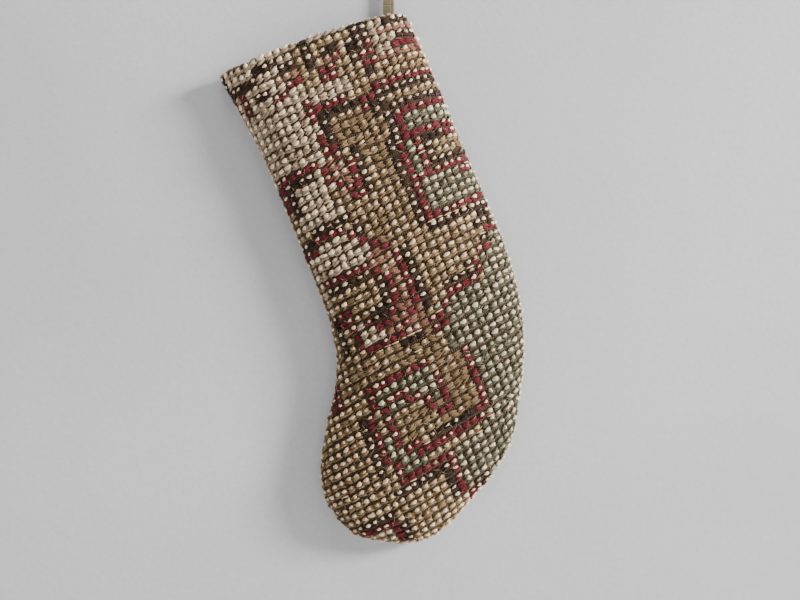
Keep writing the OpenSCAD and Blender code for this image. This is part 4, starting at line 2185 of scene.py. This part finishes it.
@dataclass
class Stage:
    """A pale wall that is seen only from the front, a pale floor, lights and the camera."""

    wall_gap: float = 0.0006
    floor_z: float = -0.66

    def _plane(self, name: str, size: float, place: Sequence[float],
               turn: Sequence[float]) -> bpy.types.Object:
        """Adds a plane of the stage.

        Args:
            name: Name of the plane.
            size: Length of its sides, in metres.
            place: Its middle.
            turn: Its turn about X, Y and Z.

        Returns:
            The plane, marked as stage.
        """
        Bench.clear()
        bpy.ops.mesh.primitive_plane_add(size=size, location=place, rotation=turn)
        obj = bpy.context.object
        obj.name = name
        obj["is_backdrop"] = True
        return obj

    def _wall_material(self) -> bpy.types.Material:
        """Builds the wall's paint.

        Returns:
            Pale paint with a fine grain, clear where it is seen from behind.
        """
        g = Graph("stage_wall")
        grain = g.noise(240.0, 4.0, 0.6)
        blotch = g.noise(3.0, 3.0, 0.5)
        tone = grain * 0.25 + blotch * 0.5
        colour = g.mix(srgb(190, 191, 194), srgb(215, 216, 219), tone.step(0.2, 0.7))
        g.finish(colour, 0.9, grain, 0.25, 0.0006)
        clear = g.node("ShaderNodeBsdfTransparent")
        facing = g.node("ShaderNodeNewGeometry")
        mixed = g.node("ShaderNodeMixShader", None, {
            0: facing.outputs["Backfacing"], 1: g.surface.outputs[0], 2: clear.outputs[0]})
        g.feed(g.output.inputs[0], mixed.outputs[0])
        return g.material

    def _floor_material(self) -> bpy.types.Material:
        """Builds the floor's paint.

        Returns:
            A pale, even floor.
        """
        g = Graph("stage_floor")
        grain = g.noise(30.0, 3.0, 0.5)
        colour = g.mix(srgb(206, 205, 203), srgb(220, 219, 217), grain)
        return g.finish(colour, 0.85)

    def _light(self, name: str, place: Sequence[float], target: Sequence[float], size: float,
               power: float, tint: Sequence[float]) -> None:
        """Adds a round soft lamp.

        Args:
            name: Name of the lamp.
            place: Where it stands.
            target: Where it points.
            size: Its diameter, in metres.
            power: Its power, in watts.
            tint: Its colour.
        """
        Bench.clear()
        bpy.ops.object.light_add(type="AREA", location=place)
        lamp = bpy.context.object
        lamp.name = name
        lamp.data.shape = "DISK"
        lamp.data.size = size
        lamp.data.energy = power
        lamp.data.color = tint
        way = np.array(target) - np.array(place)
        flat = float(np.hypot(way[0], way[1]))
        lamp.rotation_euler = (pi / 2 + float(np.arctan2(way[2], flat)), 0.0,
                               float(np.arctan2(way[1], way[0])) - pi / 2)

    def build(self) -> None:
        """Sets the wall, the floor, the lights and the camera."""
        wall_y = SIZES.wall_y * MM + self.wall_gap
        wall = self._plane("stage_wall", 6.0, (0.0, wall_y, self.floor_z + 3.0),
                           (pi / 2, 0.0, 0.0))
        wall.data.materials.append(self._wall_material())
        wall.visible_shadow = False
        floor = self._plane("stage_floor", 8.0, (0.0, 0.0, self.floor_z), (0.0, 0.0, 0.0))
        floor.data.materials.append(self._floor_material())
        middle = (0.0, 0.0, -0.25)
        self._light("key", (3.5, -1.2, 1.05), middle, 0.9, 420.0, (1.0, 0.985, 0.96))
        self._light("fill", (-0.9, -1.5, 0.1), middle, 1.5, 6.0, (0.97, 0.98, 1.0))
        self._light("top", (0.1, -0.5, 0.9), middle, 0.6, 4.5, (1.0, 1.0, 1.0))
        self._light("back_key", (0.8, 1.2, 0.6), middle, 0.8, 14.0, (1.0, 0.99, 0.97))
        self._light("back_fill", (-0.9, 1.1, -0.1), middle, 1.2, 6.0, (0.97, 0.98, 1.0))
        world = bpy.data.worlds.new("soft_room")
        world.use_nodes = True
        world.node_tree.nodes["Background"].inputs[0].default_value = (0.9, 0.92, 0.95, 1.0)
        world.node_tree.nodes["Background"].inputs[1].default_value = 0.12
        bpy.context.scene.world = world
        self._camera()

    def _camera(self) -> None:
        """Stands level in front of the wall, a little right of the tape."""
        Bench.clear()
        bpy.ops.object.camera_add(location=(0.0089, -0.56, -0.2757),
                                  rotation=(pi / 2, 0.0, 0.0))
        camera = bpy.context.object
        camera.name = "camera"
        camera.data.sensor_width = 36.0
        camera.data.lens = 32.6
        camera.data.clip_start = 0.01
        bpy.context.scene.camera = camera


# ---------------------------------------------------------------- assembly


class Stocking:
    """The whole stocking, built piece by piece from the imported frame."""

    def __init__(self) -> None:
        """Lists the sub-assemblies with their finishes and sizes."""
        finishes = Finishes()
        self.rug = Rug(finishes)
        self.loop = Loop(finishes)
        self.stitching = Stitching(finishes)
        self.front_lining = FrontLining(finishes.lining)
        self.back = FlatCloth("back_cloth", "back_panel", "back_cloth", finishes.back,
                              inset=0.9, level=0.62, thickness=0.95, first_row=0.14,
                              last_row=12.0, hem=21.0, curl=0.7, taper=3.5)
        self.back_lining = FlatCloth("lining_back_cloth", "lining_back", "lining_cloth",
                                     finishes.lining, inset=6.3, level=4.65, thickness=0.6,
                                     first_row=0.9, last_row=11.7)

    def build(self) -> None:
        """Builds and dresses every sub-assembly in order."""
        for part in (self.back, self.back_lining, self.front_lining, self.rug,
                     self.stitching, self.loop):
            part.build()
            part.dress()
            log.info("built %s", type(part).__name__)


def main() -> None:
    """Builds the stage and the stocking, and logs the faces of each piece."""
    logging.basicConfig(level=logging.INFO, format="%(name)s: %(message)s")
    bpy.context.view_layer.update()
    Stage().build()
    log.info("built the stage")
    Stocking().build()
    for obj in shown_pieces():
        log.info("%s: %d faces", obj.name, len(obj.data.polygons))


if __name__ == "__main__":
    main()
